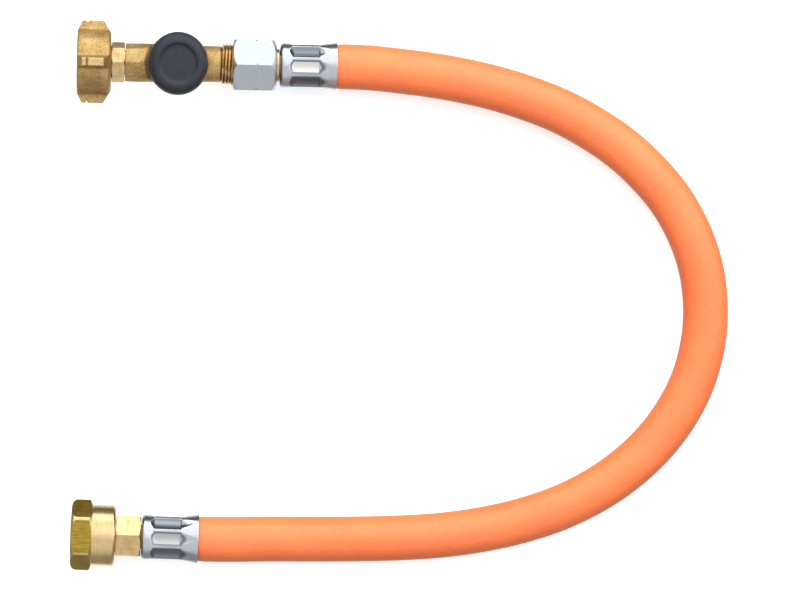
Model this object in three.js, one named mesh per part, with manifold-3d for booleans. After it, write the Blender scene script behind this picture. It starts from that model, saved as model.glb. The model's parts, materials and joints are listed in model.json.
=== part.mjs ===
// A flexible gas hose assembly: an orange rubber hose in a wide U, with a crimped steel ferrule at each end.
// The upper end carries a lugged union nut for a gas cylinder, a line-break valve with a push button, and a
// zinc-plated union nut. The lower end carries a hexagon tail and a swivel nut.
// Millimetres, +Z up. The part lies on the floor at z = 0, with the origin under the middle of its fittings.

import * as THREE from 'three';
import { mergeVertices } from 'three/addons/utils/BufferGeometryUtils.js';
import Module from 'manifold-3d';

const wasm = await Module();
wasm.setup();

// Clearance that every piece keeps to its neighbours, and facet counts of round forms
const GAP = 0.3;
const ROUND = 32;
const SMALL_ROUND = 18;
const TINY_ROUND = 12;
const NUT_FACETS = 30;
const CAP_FACETS = 26;

// Cylinder union nut, along the axis from its open front face
const NUT_LENGTH = 12.8;
const NUT_RADIUS = 12;
const NUT_EDGE = 0.6;
const NUT_BACK_EDGE = 1.2;
const NUT_THREAD_RADIUS = 10;
const NUT_THREAD_LEAD = 0.8;
const NUT_BACK_WALL = 3;
const LUG_COUNT = 4;
const LUG_RADIUS = 15.55;
const LUG_TIP_START = 2;
const LUG_TIP_LENGTH = 7.5;
const LUG_TIP_WIDTH = 3;
const LUG_ROOT_WIDTH = 5.6;
const LUG_BACK_SLOPE = 2.7;
const LUG_NOTCH_PLACE = 1.8;
const LUG_NOTCH_WIDTH = 1;
const LUG_NOTCH_DEPTH = 1.1;

// Wire rings that keep the two swivelling nuts on their shafts
const WIRE_RADIUS = 0.6;
const WIRE_PROUD = 0.85;
const WIRE_OPENING = 0.5;

// Cylinder nipple
const NIPPLE_FRONT = 6;
const NIPPLE_SHAFT_RADIUS = 6.2;
const NIPPLE_BORE_RADIUS = 2.75;
const NIPPLE_COLLAR_FLATS = 14;
const NIPPLE_COLLAR_LENGTH = 4.7;
const NIPPLE_SHANK_RADIUS = 4.6;
const NIPPLE_SHANK_LENGTH = 4.2;
const NIPPLE_SEAM = 0.45;

// Flat sealing rings of the two ends
const SEAL_THICKNESS = 1.5;
const SEAL_WIDTH = 2.6;
const SEAL_INSET = 0.25;

// Valve body
const BODY_OCTAGON_FLATS = 13.5;
const BODY_OCTAGON_LENGTH = 5;
const BODY_NECK_RADIUS = 7.25;
const BODY_BULGE_RADIUS = 9.2;
const BODY_BULGE_SPREAD = 9.6;
const BODY_BARREL_RADIUS = 6.8;
const BODY_BARREL_END = 53.7;
const BODY_UNDERCUT = 0.3;
const BODY_UNDERCUT_DEPTH = 0.5;
const BODY_THREAD_RADIUS = 8;
const BODY_THREAD_LENGTH = 12;
const BODY_CONE_RADIUS = 6.2;
const BODY_CONE_LENGTH = 3.4;
const BODY_BORE_RADIUS = 3;

// Chamber of the line-break valve, and the pieces in it
const O_RING_POCKET_DEPTH = 1.35;
const O_RING_WIRE_RADIUS = 0.4;
const CHAMBER_STEP = 28.9;
const CHAMBER_SEAT = 34;
const CHAMBER_NARROW_RADIUS = 4;
const SEAT_RADIUS = 2.4;
const SEAT_LENGTH = 1.4;
const GUIDE_THICKNESS = 1.5;
const GUIDE_HOLES = 3;
const GUIDE_HOLE_RADIUS = 0.95;
const POPPET_STEM_RADIUS = 1;
const POPPET_COLLAR_RADIUS = 2.3;
const POPPET_COLLAR_THICKNESS = 0.8;
const POPPET_COLLAR_PLACE = 22.6;
const POPPET_HEAD_RADIUS = 3.3;
const POPPET_HEAD_THICKNESS = 1.4;
const POPPET_HEAD_GAP = 0.5;
const POPPET_NOSE_RADIUS = 1.4;
const POPPET_SEAL_THICKNESS = 0.6;
const POPPET_SPRING_WIRE = 0.25;
const POPPET_SPRING_TURNS = 3;

// Push button boss and its valve pin, measured up from the body's axis
const BOSS_PLACE = 37.7;
const BOSS_RADIUS = 8.6;
const FLANGE_RADIUS = 11.2;
const FLANGE_THICKNESS = 1.8;
const FLANGE_TOP = 9.8;
const BUSH_RADIUS = 5;
const BUSH_BOTTOM = 5;
const BUSH_HEX_FLATS = 12.4;
const BUSH_HEAD_HEIGHT = 2.3;
const BUSH_SPRING_POCKET_RADIUS = 3.6;
const BUSH_SPRING_POCKET_DEPTH = 1.8;
const PASSAGE_RADIUS = 2.5;
const BYPASS_RADIUS = 0.7;
const BYPASS_SETBACK = 0.8;
const PIN_RADIUS = 1.5;
const PIN_LAND_RADIUS = 2.2;
const PIN_LAND_BOTTOM = 2.9;
const PIN_LAND_HEIGHT = 1.8;
const PIN_GROOVE_DEPTH = 0.8;
const PIN_GROOVE_HEIGHT = 1;
const PIN_TOP = 16.9;
const PIN_SEAL_WIRE = 0.27;
const PIN_RING_WIRE = 0.35;
const PIN_SPRING_WIRE = 0.3;
const PIN_SPRING_RADIUS = 2.9;
const PIN_SPRING_TURNS = 3;
const BUTTON_TRAVEL = 3;
const CAP_WIDTH = 22.4;
const CAP_STRETCH = 1.054;
const CAP_HEIGHT = 8;
const CAP_SKIRT_WALL = 1.6;
const CAP_DISH_RADIUS = 7;
const CAP_DISH_DEPTH = 0.6;
const CAP_ROOF = 2.6;
const CORE_THICKNESS = 1.5;
const CORE_HUB_RADIUS = 2.1;
const CORE_HUB_HEIGHT = 0.9;

// Zinc-plated union nut
const STEEL_NUT_START = 58.5;
const STEEL_NUT_LENGTH = 16.3;
const STEEL_NUT_FLATS = 19;
const STEEL_NUT_BACK_WALL = 3.6;
const STEEL_NUT_NOTCH_PLACE = 8.7;
const STEEL_NUT_NOTCH = 0.5;
const STEEL_NUT_FRONT_CONE = 1.5;
const STEEL_NUT_FRONT_FACE = 8.9;
const STEEL_NUT_BACK_CONE = 2.2;
const STEEL_NUT_BACK_FACE = 7.9;

// Hose tails
const TAIL_NECK_RADIUS = 6.3;
const TAIL_FLANGE_RADIUS = 7.5;
const TAIL_BORE_RADIUS = 2.1;
const TAIL_ROOT_RADIUS = 4.6;
const TAIL_STEM_RADIUS = 3.05;
const TAIL_BARB_RADIUS = 3.5;
const TAIL_BARBS = 2;
const TAIL_STEM_LENGTH = 18.4;
const INLET_COLLAR_GAP = 1.1;

// Crimped ferrules
const FERRULE_LENGTH = 21.4;
const FERRULE_WALL = 0.8;
const FERRULE_SHOULDER_RADIUS = 8.65;
const FERRULE_WAIST_RADIUS = 8.3;
const FERRULE_CORNER = 1.3;
const FERRULE_FLARE_LENGTH = 2;
const INLET_FLARE_RADIUS = 9.15;
const OUTLET_FLARE_RADIUS = 9.5;
const POCKETS = 8;
const POCKET_FLOOR_RADIUS = 7.6;
const POCKET_FLOOR_START = 4.8;
const POCKET_FLOOR_LENGTH = 9.9;
const POCKET_FLOOR_WIDTH = 3.9;
const POCKET_FRONT_SLOPE = 1.5;
const POCKET_BACK_SLOPE = 2.9;
const POCKET_SIDE_SLOPE = 1;
const INLET_POCKET_ROLL = 3;
const FERRULE_FACETS = 24;

// Swivel nut and hexagon tail of the lower end
const SWIVEL_FLATS = 23.7;
const SWIVEL_CORNER_RADIUS = 13.3;
const SWIVEL_HEX_LENGTH = 8;
const SWIVEL_LENGTH = 16.7;
const SWIVEL_COLLAR_RADIUS = 11.5;
const SWIVEL_FRONT_CHAMFER = 1.7;
const SWIVEL_FRONT_FACE = 11.25;
const SWIVEL_CHAMFER = 0.9;
const SWIVEL_COLLAR_CHAMFER = 0.7;
const SWIVEL_THREAD_RADIUS = 9.25;
const SWIVEL_THREAD_LEAD = 0.8;
const SWIVEL_BACK_WALL = 3.5;
const OUTLET_NOSE_FRONT = 9.4;
const OUTLET_SHAFT_RADIUS = 6;
const OUTLET_HEX_FLATS = 15;
const OUTLET_HEX_LENGTH = 9.3;
const OUTLET_HEX_ROLL = -6;
const OUTLET_HEX_FRONT_CHAMFER = 0.2;
const OUTLET_HEX_BACK_CHAMFER = 0.7;

// Hose
const HOSE_RADIUS = 8.5;
const HOSE_BORE_RADIUS = 3.15;
const HOSE_SIDES = 12;
const HOSE_BORE_SIDES = 6;
const HOSE_STEPS = 22;
const HOSE_CRIMPED_RADIUS = 6.4;
const HOSE_CRIMP_LENGTH = 15.5;

// How the two ends lie on the floor: place of each front face, and turns in degrees
const INLET_X = -47.2;
const INLET_Y = 87.6;
const INLET_YAW = -1;
const INLET_PITCH = 3.6;
const INLET_ROLL = 3;
const OUTLET_X = -49.8;
const OUTLET_Y = -90.1;
const OUTLET_YAW = -2.27;
const OUTLET_PITCH = 2.6;

// Middle line of the free hose, from the upper ferrule's mouth to the lower one's
const HOSE_ROUTE = [
  [50.4, 85.9, 10.05], [62, 85.5, 9.4], [73.9, 84.3, 8.9], [84.2, 83, 8.62], [94.5, 81.3, 8.52],
  [104.8, 79.1, 8.5], [114.9, 76.4, 8.5], [124.8, 73.1, 8.5], [134.4, 69.2, 8.5], [143.6, 64.4, 8.5],
  [152.4, 58.9, 8.5], [160.7, 52.5, 8.5], [168.2, 45.2, 8.5], [174.9, 37.3, 8.5], [180.4, 28.5, 8.5],
  [184.7, 19.1, 8.5], [187.6, 9.2, 8.5], [189, -1.2, 8.5], [189, -11.6, 8.5], [187.5, -21.9, 8.5],
  [184.6, -31.9, 8.5], [180.2, -41.3, 8.5], [174.6, -50, 8.5], [167.9, -57.9, 8.5], [160.2, -65, 8.5],
  [151.8, -71.2, 8.5], [142.8, -76.4, 8.5], [133.4, -80.7, 8.5], [123.5, -84.1, 8.5], [113.4, -86.8, 8.5],
  [103.2, -88.8, 8.5], [92.9, -90.3, 8.5], [82.5, -91.2, 8.5], [66.9, -91.9, 8.5], [51.3, -92.1, 8.52],
  [35.5, -92.1, 8.66], [19.9, -92.1, 9.1], [9.5, -92.2, 9.5], [-1.5, -92, 9.99],
];

// Places that follow from the sizes above, along each end's axis
const NUT_SHOULDER = NUT_LENGTH - NUT_BACK_WALL;
const COLLAR_START = NUT_LENGTH + GAP;
const COLLAR_END = COLLAR_START + NIPPLE_COLLAR_LENGTH;
const BODY_START = COLLAR_END + NIPPLE_SEAM;
const SHANK_END = COLLAR_END + NIPPLE_SHANK_LENGTH;
const THREAD_START = BODY_BARREL_END + BODY_UNDERCUT;
const BODY_END = THREAD_START + BODY_THREAD_LENGTH;
const CHAMBER_RADIUS = NIPPLE_SHANK_RADIUS + GAP;
const O_RING_POCKET_RADIUS = NIPPLE_SHANK_RADIUS + 2 * O_RING_WIRE_RADIUS + 2 * GAP;
const GUIDE_BACK = CHAMBER_STEP - GAP;
const GUIDE_FRONT = GUIDE_BACK - GUIDE_THICKNESS;
const POPPET_HEAD_START = GUIDE_BACK + POPPET_HEAD_GAP;
const POPPET_HEAD_END = POPPET_HEAD_START + POPPET_HEAD_THICKNESS;
const PASSAGE_TOP = PIN_LAND_BOTTOM + PIN_LAND_HEIGHT;
const BUSH_HEAD_BOTTOM = FLANGE_TOP + GAP;
const BUSH_TOP = BUSH_HEAD_BOTTOM + BUSH_HEAD_HEIGHT;
const CAP_BOTTOM = FLANGE_TOP + BUTTON_TRAVEL + 0.4;
const CAP_TOP = CAP_BOTTOM + CAP_HEIGHT;
const CORE_TOP = CAP_TOP - CAP_DISH_DEPTH - CAP_ROOF - GAP;
const CORE_BOTTOM = CORE_TOP - CORE_THICKNESS;
const STEEL_NUT_END = STEEL_NUT_START + STEEL_NUT_LENGTH;
const STEEL_NUT_SHOULDER = STEEL_NUT_END - STEEL_NUT_BACK_WALL;
const INLET_FERRULE_START = STEEL_NUT_END + INLET_COLLAR_GAP + GAP;
const OUTLET_HEX_START = SWIVEL_LENGTH + GAP;
const OUTLET_HEX_END = OUTLET_HEX_START + OUTLET_HEX_LENGTH;
const OUTLET_FERRULE_START = OUTLET_HEX_END + GAP;
const SWIVEL_SHOULDER = SWIVEL_LENGTH - SWIVEL_BACK_WALL;

const radians = THREE.MathUtils.degToRad;

// Heights of the two front face centres, so that the lowest lug and the lowest flat touch the floor
const LUG_LOW = LUG_RADIUS * Math.cos(radians(INLET_ROLL))
  + (LUG_TIP_WIDTH / 2) * Math.sin(radians(INLET_ROLL));
const INLET_HEIGHT = LUG_LOW * Math.cos(radians(INLET_PITCH))
  + (LUG_TIP_START + LUG_TIP_LENGTH) * Math.sin(radians(INLET_PITCH));
const OUTLET_HEIGHT = Math.max(
  (SWIVEL_FLATS / 2) * Math.cos(radians(OUTLET_PITCH)) + SWIVEL_HEX_LENGTH * Math.sin(radians(OUTLET_PITCH)),
  SWIVEL_COLLAR_RADIUS * Math.cos(radians(OUTLET_PITCH)) + SWIVEL_LENGTH * Math.sin(radians(OUTLET_PITCH)),
);

// Turns a three.js geometry into a closed solid: shared corners are merged and empty triangles dropped
function solid(geometry) {
  const bare = geometry.clone();
  bare.deleteAttribute('normal');
  bare.deleteAttribute('uv');
  const merged = mergeVertices(bare, 1e-4);
  const index = merged.index.array;
  const triangles = [];
  for (let i = 0; i < index.length; i += 3) {
    const [a, b, c] = [index[i], index[i + 1], index[i + 2]];
    if (a !== b && b !== c && c !== a) triangles.push(a, b, c);
  }
  return new wasm.Manifold(new wasm.Mesh({
    numProp: 3,
    vertProperties: Float32Array.from(merged.attributes.position.array),
    triVerts: Uint32Array.from(triangles),
  }));
}

// Gives a solid back as a three.js geometry
function surface(body) {
  const mesh = body.getMesh();
  const geometry = new THREE.BufferGeometry();
  geometry.setAttribute('position', new THREE.BufferAttribute(Float32Array.from(mesh.vertProperties), 3));
  geometry.setIndex(new THREE.BufferAttribute(Uint32Array.from(mesh.triVerts), 1));
  return geometry;
}

// Revolves an outline about the X axis. Each point is [place along X, radius], and the outline runs with the
// metal on its right: along the outside towards +X, then back inside. A bored outline closes itself.
function turned(outline, facets = ROUND) {
  const points = outline.map(([along, radius]) => new THREE.Vector2(radius, along));
  const bored = outline[0][1] > 0;
  if (bored) points.push(points[0].clone());
  return new THREE.LatheGeometry(points, facets).rotateZ(-Math.PI / 2);
}

// Stands a geometry that was turned about X upright, so that its X becomes +Z, over a place on the axis
function upright(geometry, place) {
  return geometry.rotateY(-Math.PI / 2).translate(place, 0, 0);
}

// A plain tube between two places, with an outer and an inner radius
function ring(start, end, outer, inner, facets = SMALL_ROUND) {
  return turned([[start, inner], [start, outer], [end, outer], [end, inner]], facets);
}

// A plain rod between two places
function rod(start, end, radius, facets = SMALL_ROUND) {
  return turned([[start, 0], [start, radius], [end, radius], [end, 0]], facets);
}

// An O-ring about X: a round section carried round a circle
function roundRing(place, radius, wire, facets = TINY_ROUND) {
  const sides = 6;
  const outline = [];
  for (let i = 0; i < sides; i += 1) {
    const angle = (-2 * Math.PI * i) / sides - Math.PI / 2;
    outline.push([place + wire * Math.cos(angle), radius + wire * Math.sin(angle)]);
  }
  return turned(outline, facets);
}

// A regular prism about X, corner up, between two places
function prism(sides, flats, start, end, roll = 0) {
  const corner = flats / 2 / Math.cos(Math.PI / sides);
  const outline = new THREE.Shape();
  for (let i = 0; i < sides; i += 1) {
    const angle = (2 * Math.PI * i) / sides;
    outline[i ? 'lineTo' : 'moveTo'](corner * Math.cos(angle), corner * Math.sin(angle));
  }
  outline.closePath();
  const geometry = new THREE.ExtrudeGeometry(outline, { depth: end - start, bevelEnabled: false });
  return geometry.rotateY(Math.PI / 2).translate(start, 0, 0).rotateX(radians(roll));
}

// Copies of a solid, evenly spread round the X axis, joined with or cut from a body
function spread(body, makeTool, count, operation, firstTurn = 0) {
  let result = body;
  for (let i = 0; i < count; i += 1) {
    const tool = solid(makeTool().rotateX(radians(firstTurn) + (2 * Math.PI * i) / count));
    result = result[operation](tool);
  }
  return result;
}

// A closed skin over rings of points that have the same count, with flat ends
function lofted(rings) {
  const count = rings[0].length;
  const positions = rings.flat().flatMap((point) => [point.x, point.y, point.z]);
  const triangles = [];
  for (let level = 0; level + 1 < rings.length; level += 1) {
    for (let i = 0; i < count; i += 1) {
      const low = level * count + i;
      const next = level * count + ((i + 1) % count);
      triangles.push(low, next, next + count, low, next + count, low + count);
    }
  }
  const top = (rings.length - 1) * count;
  for (let i = 1; i + 1 < count; i += 1) {
    triangles.push(0, i + 1, i);
    triangles.push(top, top + i, top + i + 1);
  }
  const geometry = new THREE.BufferGeometry();
  geometry.setAttribute('position', new THREE.Float32BufferAttribute(positions, 3));
  geometry.setIndex(triangles);
  return geometry;
}

// A rectangle at one height, with plain or cut corners, as a ring of points for a skin
function slotRing(start, end, width, height, cut) {
  const half = width / 2;
  const plain = [[start, -half], [end, -half], [end, half], [start, half]];
  const rounded = [
    [start + cut, -half], [end - cut, -half], [end, cut - half], [end, half - cut],
    [end - cut, half], [start + cut, half], [start, half - cut], [start, cut - half],
  ];
  const corners = cut > 0 ? rounded : plain;
  return corners.map(([along, across]) => new THREE.Vector3(along, across, height));
}

// A helical spring wire about X
function coil(start, end, radius, wire, turns) {
  class Helix extends THREE.Curve {
    getPoint(share, target = new THREE.Vector3()) {
      const angle = 2 * Math.PI * turns * share;
      const along = start + wire + (end - start - 2 * wire) * share;
      return target.set(along, radius * Math.cos(angle), radius * Math.sin(angle));
    }
  }
  const section = new THREE.Shape().absarc(0, 0, wire, 0, 2 * Math.PI);
  return new THREE.ExtrudeGeometry(section, {
    steps: turns * 8, curveSegments: 3, bevelEnabled: false, extrudePath: new Helix(),
  });
}

// Wire ring with an opening, sprung into the groove of a shaft
function retainingRing(shaftRadius, shoulder) {
  const radius = shaftRadius + WIRE_PROUD - WIRE_RADIUS;
  const place = shoulder - GAP - WIRE_RADIUS;
  class Arc extends THREE.Curve {
    getPoint(share, target = new THREE.Vector3()) {
      const angle = WIRE_OPENING / 2 + (2 * Math.PI - WIRE_OPENING) * share;
      return target.set(place, radius * Math.cos(angle), radius * Math.sin(angle));
    }
  }
  const section = new THREE.Shape().absarc(0, 0, WIRE_RADIUS, 0, 2 * Math.PI);
  return new THREE.ExtrudeGeometry(section, {
    steps: 16, curveSegments: 3, bevelEnabled: false, extrudePath: new Arc(),
  });
}

// Outline of the groove that the wire ring sits in, cut into a shaft
function grooveOutline(shaftRadius, shoulder) {
  const depth = shaftRadius + WIRE_PROUD - 2 * WIRE_RADIUS - GAP;
  const start = shoulder - 2 * GAP - 2 * WIRE_RADIUS;
  return [[start, shaftRadius], [start, depth], [shoulder, depth], [shoulder, shaftRadius]];
}

// One lug of the cylinder nut: its side outline crossed with its drafted section
function lug() {
  const tipEnd = LUG_TIP_START + LUG_TIP_LENGTH;
  const root = NUT_RADIUS - 1;
  const side = new THREE.Shape([
    new THREE.Vector2(NUT_EDGE, root),
    new THREE.Vector2(0, NUT_RADIUS - NUT_EDGE),
    new THREE.Vector2(LUG_TIP_START, LUG_RADIUS),
    new THREE.Vector2(LUG_TIP_START + LUG_NOTCH_PLACE - LUG_NOTCH_WIDTH / 2, LUG_RADIUS),
    new THREE.Vector2(LUG_TIP_START + LUG_NOTCH_PLACE, LUG_RADIUS - LUG_NOTCH_DEPTH),
    new THREE.Vector2(LUG_TIP_START + LUG_NOTCH_PLACE + LUG_NOTCH_WIDTH / 2, LUG_RADIUS),
    new THREE.Vector2(tipEnd, LUG_RADIUS),
    new THREE.Vector2(tipEnd + LUG_BACK_SLOPE, NUT_RADIUS - NUT_EDGE),
    new THREE.Vector2(tipEnd + LUG_BACK_SLOPE, root),
  ]);
  const plate = new THREE.ExtrudeGeometry(side, { depth: 2 * LUG_ROOT_WIDTH, bevelEnabled: false });
  plate.translate(0, 0, -LUG_ROOT_WIDTH).rotateX(Math.PI / 2);
  const half = LUG_ROOT_WIDTH / 2;
  const tip = LUG_TIP_WIDTH / 2;
  const section = new THREE.Shape();
  section.moveTo(-half - 1, root - 1);
  section.lineTo(-half - 1, NUT_RADIUS - 0.4);
  section.quadraticCurveTo(-tip - 0.5, NUT_RADIUS, -tip - 0.2, LUG_RADIUS - 1.4);
  section.lineTo(-tip, LUG_RADIUS);
  section.lineTo(tip, LUG_RADIUS);
  section.lineTo(tip + 0.2, LUG_RADIUS - 1.4);
  section.quadraticCurveTo(tip + 0.5, NUT_RADIUS, half + 1, NUT_RADIUS - 0.4);
  section.lineTo(half + 1, root - 1);
  const bar = new THREE.ExtrudeGeometry(section, {
    depth: NUT_LENGTH, curveSegments: 4, bevelEnabled: false,
  });
  bar.rotateX(Math.PI / 2).rotateZ(Math.PI / 2);
  return surface(solid(plate).intersect(solid(bar)));
}

function inletUnionNut() {
  const hole = NIPPLE_SHAFT_RADIUS + GAP;
  const shell = solid(turned([
    [0, NUT_THREAD_RADIUS + NUT_THREAD_LEAD], [0, NUT_RADIUS - NUT_EDGE], [NUT_EDGE, NUT_RADIUS],
    [NUT_LENGTH - NUT_BACK_EDGE, NUT_RADIUS], [NUT_LENGTH, NUT_RADIUS - NUT_BACK_EDGE], [NUT_LENGTH, hole],
    [NUT_SHOULDER, hole], [NUT_SHOULDER, NUT_THREAD_RADIUS], [NUT_THREAD_LEAD, NUT_THREAD_RADIUS],
  ]));
  const lugged = spread(shell, lug, LUG_COUNT, 'add');
  const bore = solid(rod(NUT_THREAD_LEAD, NUT_SHOULDER, NUT_THREAD_RADIUS, ROUND));
  return surface(lugged.subtract(bore));
}

function inletNipple() {
  const body = solid(turned([
    [NIPPLE_FRONT, NIPPLE_BORE_RADIUS], [NIPPLE_FRONT, NIPPLE_SHAFT_RADIUS - 0.4],
    [NIPPLE_FRONT + 0.4, NIPPLE_SHAFT_RADIUS], ...grooveOutline(NIPPLE_SHAFT_RADIUS, NUT_SHOULDER),
    [COLLAR_START + 1, NIPPLE_SHAFT_RADIUS], [COLLAR_START + 1, NIPPLE_SHANK_RADIUS],
    [SHANK_END, NIPPLE_SHANK_RADIUS], [SHANK_END, NIPPLE_BORE_RADIUS],
  ], SMALL_ROUND));
  const corner = NIPPLE_COLLAR_FLATS / 2 / Math.cos(Math.PI / 8);
  const blank = solid(turned([
    [COLLAR_START, NIPPLE_BORE_RADIUS + 1], [COLLAR_START, corner - 0.4], [COLLAR_START + 0.3, corner + 0.1],
    [COLLAR_END - 0.3, corner + 0.1], [COLLAR_END, corner - 0.4], [COLLAR_END, NIPPLE_BORE_RADIUS + 1],
  ], SMALL_ROUND * 2));
  const collar = blank.intersect(solid(prism(8, NIPPLE_COLLAR_FLATS, COLLAR_START, COLLAR_END)));
  return surface(body.add(collar));
}

function flatSeal(face, outer) {
  const back = face - GAP;
  return ring(back - SEAL_THICKNESS, back, outer - SEAL_INSET, outer - SEAL_INSET - SEAL_WIDTH);
}

// Smooth swelling of the casting round the boss, as an outline along the axis
function bulgeOutline() {
  const outline = [];
  for (let share = -1; share <= 1.001; share += 1 / 3) {
    const base = share < 0 ? BODY_NECK_RADIUS : BODY_BARREL_RADIUS;
    const swell = Math.cos((Math.PI / 2) * share) ** 2;
    outline.push([BOSS_PLACE + BODY_BULGE_SPREAD * share, base + (BODY_BULGE_RADIUS - base) * swell]);
  }
  return outline;
}

// The casting with its octagon, swelling, boss and flange, then its bores, chamber, cone and ports
function valveBody() {
  const octagonEnd = BODY_START + BODY_OCTAGON_LENGTH;
  const octagon = solid(prism(8, BODY_OCTAGON_FLATS, BODY_START, octagonEnd));
  const undercut = BODY_BARREL_RADIUS - BODY_UNDERCUT_DEPTH;
  const barrel = solid(turned([
    [octagonEnd - 1, 0], [octagonEnd - 1, BODY_NECK_RADIUS - 1], [octagonEnd, BODY_NECK_RADIUS],
    ...bulgeOutline(), [BODY_BARREL_END, BODY_BARREL_RADIUS], [BODY_BARREL_END, undercut],
    [THREAD_START, undercut], [THREAD_START + 0.5, BODY_THREAD_RADIUS],
    [BODY_END - 0.8, BODY_THREAD_RADIUS], [BODY_END, BODY_THREAD_RADIUS - 0.8], [BODY_END, 0],
  ]));
  const flangeEdge = 0.3;
  const boss = solid(upright(turned([
    [0, 0], [0, BOSS_RADIUS], [FLANGE_TOP - FLANGE_THICKNESS - 1, BOSS_RADIUS],
    [FLANGE_TOP - FLANGE_THICKNESS, FLANGE_RADIUS - flangeEdge],
    [FLANGE_TOP - FLANGE_THICKNESS + flangeEdge, FLANGE_RADIUS],
    [FLANGE_TOP - flangeEdge, FLANGE_RADIUS], [FLANGE_TOP, FLANGE_RADIUS - flangeEdge], [FLANGE_TOP, 0],
  ], CAP_FACETS), BOSS_PLACE));
  const bores = solid(turned([
    [BODY_START - 1, 0], [BODY_START - 1, O_RING_POCKET_RADIUS],
    [BODY_START + O_RING_POCKET_DEPTH, O_RING_POCKET_RADIUS],
    [BODY_START + O_RING_POCKET_DEPTH, CHAMBER_RADIUS],
    [CHAMBER_STEP, CHAMBER_RADIUS], [CHAMBER_STEP, CHAMBER_NARROW_RADIUS],
    [CHAMBER_SEAT, CHAMBER_NARROW_RADIUS], [CHAMBER_SEAT, SEAT_RADIUS],
    [CHAMBER_SEAT + SEAT_LENGTH, SEAT_RADIUS], [CHAMBER_SEAT + SEAT_LENGTH, BODY_BORE_RADIUS],
    [BODY_END - BODY_CONE_LENGTH, BODY_BORE_RADIUS], [BODY_END + 0.1, BODY_CONE_RADIUS + 0.1],
    [BODY_END + 0.1, 0],
  ], SMALL_ROUND));
  const bushBore = solid(upright(rod(PASSAGE_TOP, FLANGE_TOP + 1, BUSH_RADIUS + GAP), BOSS_PLACE));
  const passage = solid(upright(rod(0, PASSAGE_TOP + 1, PASSAGE_RADIUS, TINY_ROUND), BOSS_PLACE));
  const bypassLow = CHAMBER_NARROW_RADIUS - 1;
  const bypassPlace = CHAMBER_SEAT - BYPASS_SETBACK;
  const bypass = solid(upright(rod(bypassLow, PASSAGE_TOP + 0.5, BYPASS_RADIUS, 10), bypassPlace));
  const casting = octagon.add(barrel).add(boss);
  return surface(casting.subtract(bores).subtract(bushBore).subtract(passage).subtract(bypass));
}

function nippleRing() {
  const place = BODY_START + O_RING_POCKET_DEPTH - GAP - O_RING_WIRE_RADIUS;
  return roundRing(place, NIPPLE_SHANK_RADIUS + GAP + O_RING_WIRE_RADIUS, O_RING_WIRE_RADIUS);
}

// Disc with a hub bore for the poppet's stem and holes that let the gas through
function poppetGuide() {
  const disc = solid(ring(GUIDE_FRONT, GUIDE_BACK, CHAMBER_RADIUS - GAP, POPPET_STEM_RADIUS + GAP));
  const holePlace = (CHAMBER_RADIUS + POPPET_STEM_RADIUS) / 2;
  const hole = () => rod(GUIDE_FRONT - 1, GUIDE_BACK + 1, GUIDE_HOLE_RADIUS, 10).translate(0, 0, holePlace);
  return surface(spread(disc, hole, GUIDE_HOLES, 'subtract'));
}

function poppet() {
  const collarEnd = POPPET_COLLAR_PLACE + POPPET_COLLAR_THICKNESS;
  const noseEnd = POPPET_HEAD_END + GAP + POPPET_SEAL_THICKNESS;
  return turned([
    [POPPET_COLLAR_PLACE, 0], [POPPET_COLLAR_PLACE, POPPET_COLLAR_RADIUS], [collarEnd, POPPET_COLLAR_RADIUS],
    [collarEnd, POPPET_STEM_RADIUS], [POPPET_HEAD_START, POPPET_STEM_RADIUS],
    [POPPET_HEAD_START, POPPET_HEAD_RADIUS], [POPPET_HEAD_END, POPPET_HEAD_RADIUS],
    [POPPET_HEAD_END, POPPET_NOSE_RADIUS], [noseEnd, POPPET_NOSE_RADIUS], [noseEnd, 0],
  ], SMALL_ROUND);
}

function poppetSeal() {
  const start = POPPET_HEAD_END + GAP;
  return ring(start, start + POPPET_SEAL_THICKNESS, POPPET_HEAD_RADIUS - 0.1, POPPET_NOSE_RADIUS + GAP);
}

function poppetSpring() {
  const start = POPPET_COLLAR_PLACE + POPPET_COLLAR_THICKNESS + GAP;
  const radius = POPPET_STEM_RADIUS + GAP + 2 * POPPET_SPRING_WIRE;
  return coil(start, GUIDE_FRONT - GAP, radius, POPPET_SPRING_WIRE, POPPET_SPRING_TURNS);
}

// Screwed bush that closes the boss and guides the pin, with a hexagon head and a groove for its O-ring
function glandBush() {
  const bore = PIN_RADIUS + GAP;
  const grooveMiddle = (BUSH_BOTTOM + FLANGE_TOP) / 2;
  const grooveHalf = PIN_RING_WIRE + 0.2;
  const grooveRadius = PIN_RADIUS + 2 * GAP + 2 * PIN_RING_WIRE;
  const pocketFloor = BUSH_TOP - BUSH_SPRING_POCKET_DEPTH;
  const body = solid(turned([
    [BUSH_BOTTOM, bore], [BUSH_BOTTOM, BUSH_RADIUS - 0.4], [BUSH_BOTTOM + 0.4, BUSH_RADIUS],
    [BUSH_HEAD_BOTTOM + 0.5, BUSH_RADIUS], [BUSH_HEAD_BOTTOM + 0.5, BUSH_SPRING_POCKET_RADIUS + 0.5],
    [BUSH_TOP, BUSH_SPRING_POCKET_RADIUS + 0.5], [BUSH_TOP, BUSH_SPRING_POCKET_RADIUS],
    [pocketFloor, BUSH_SPRING_POCKET_RADIUS], [pocketFloor, bore],
    [grooveMiddle + grooveHalf, bore], [grooveMiddle + grooveHalf, grooveRadius],
    [grooveMiddle - grooveHalf, grooveRadius], [grooveMiddle - grooveHalf, bore],
  ], SMALL_ROUND));
  const hex = solid(prism(6, BUSH_HEX_FLATS, BUSH_HEAD_BOTTOM, BUSH_TOP));
  const pocket = solid(rod(BUSH_HEAD_BOTTOM - 1, BUSH_TOP + 1, BUSH_SPRING_POCKET_RADIUS + GAP));
  return upright(surface(body.add(hex.subtract(pocket))), BOSS_PLACE);
}

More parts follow.
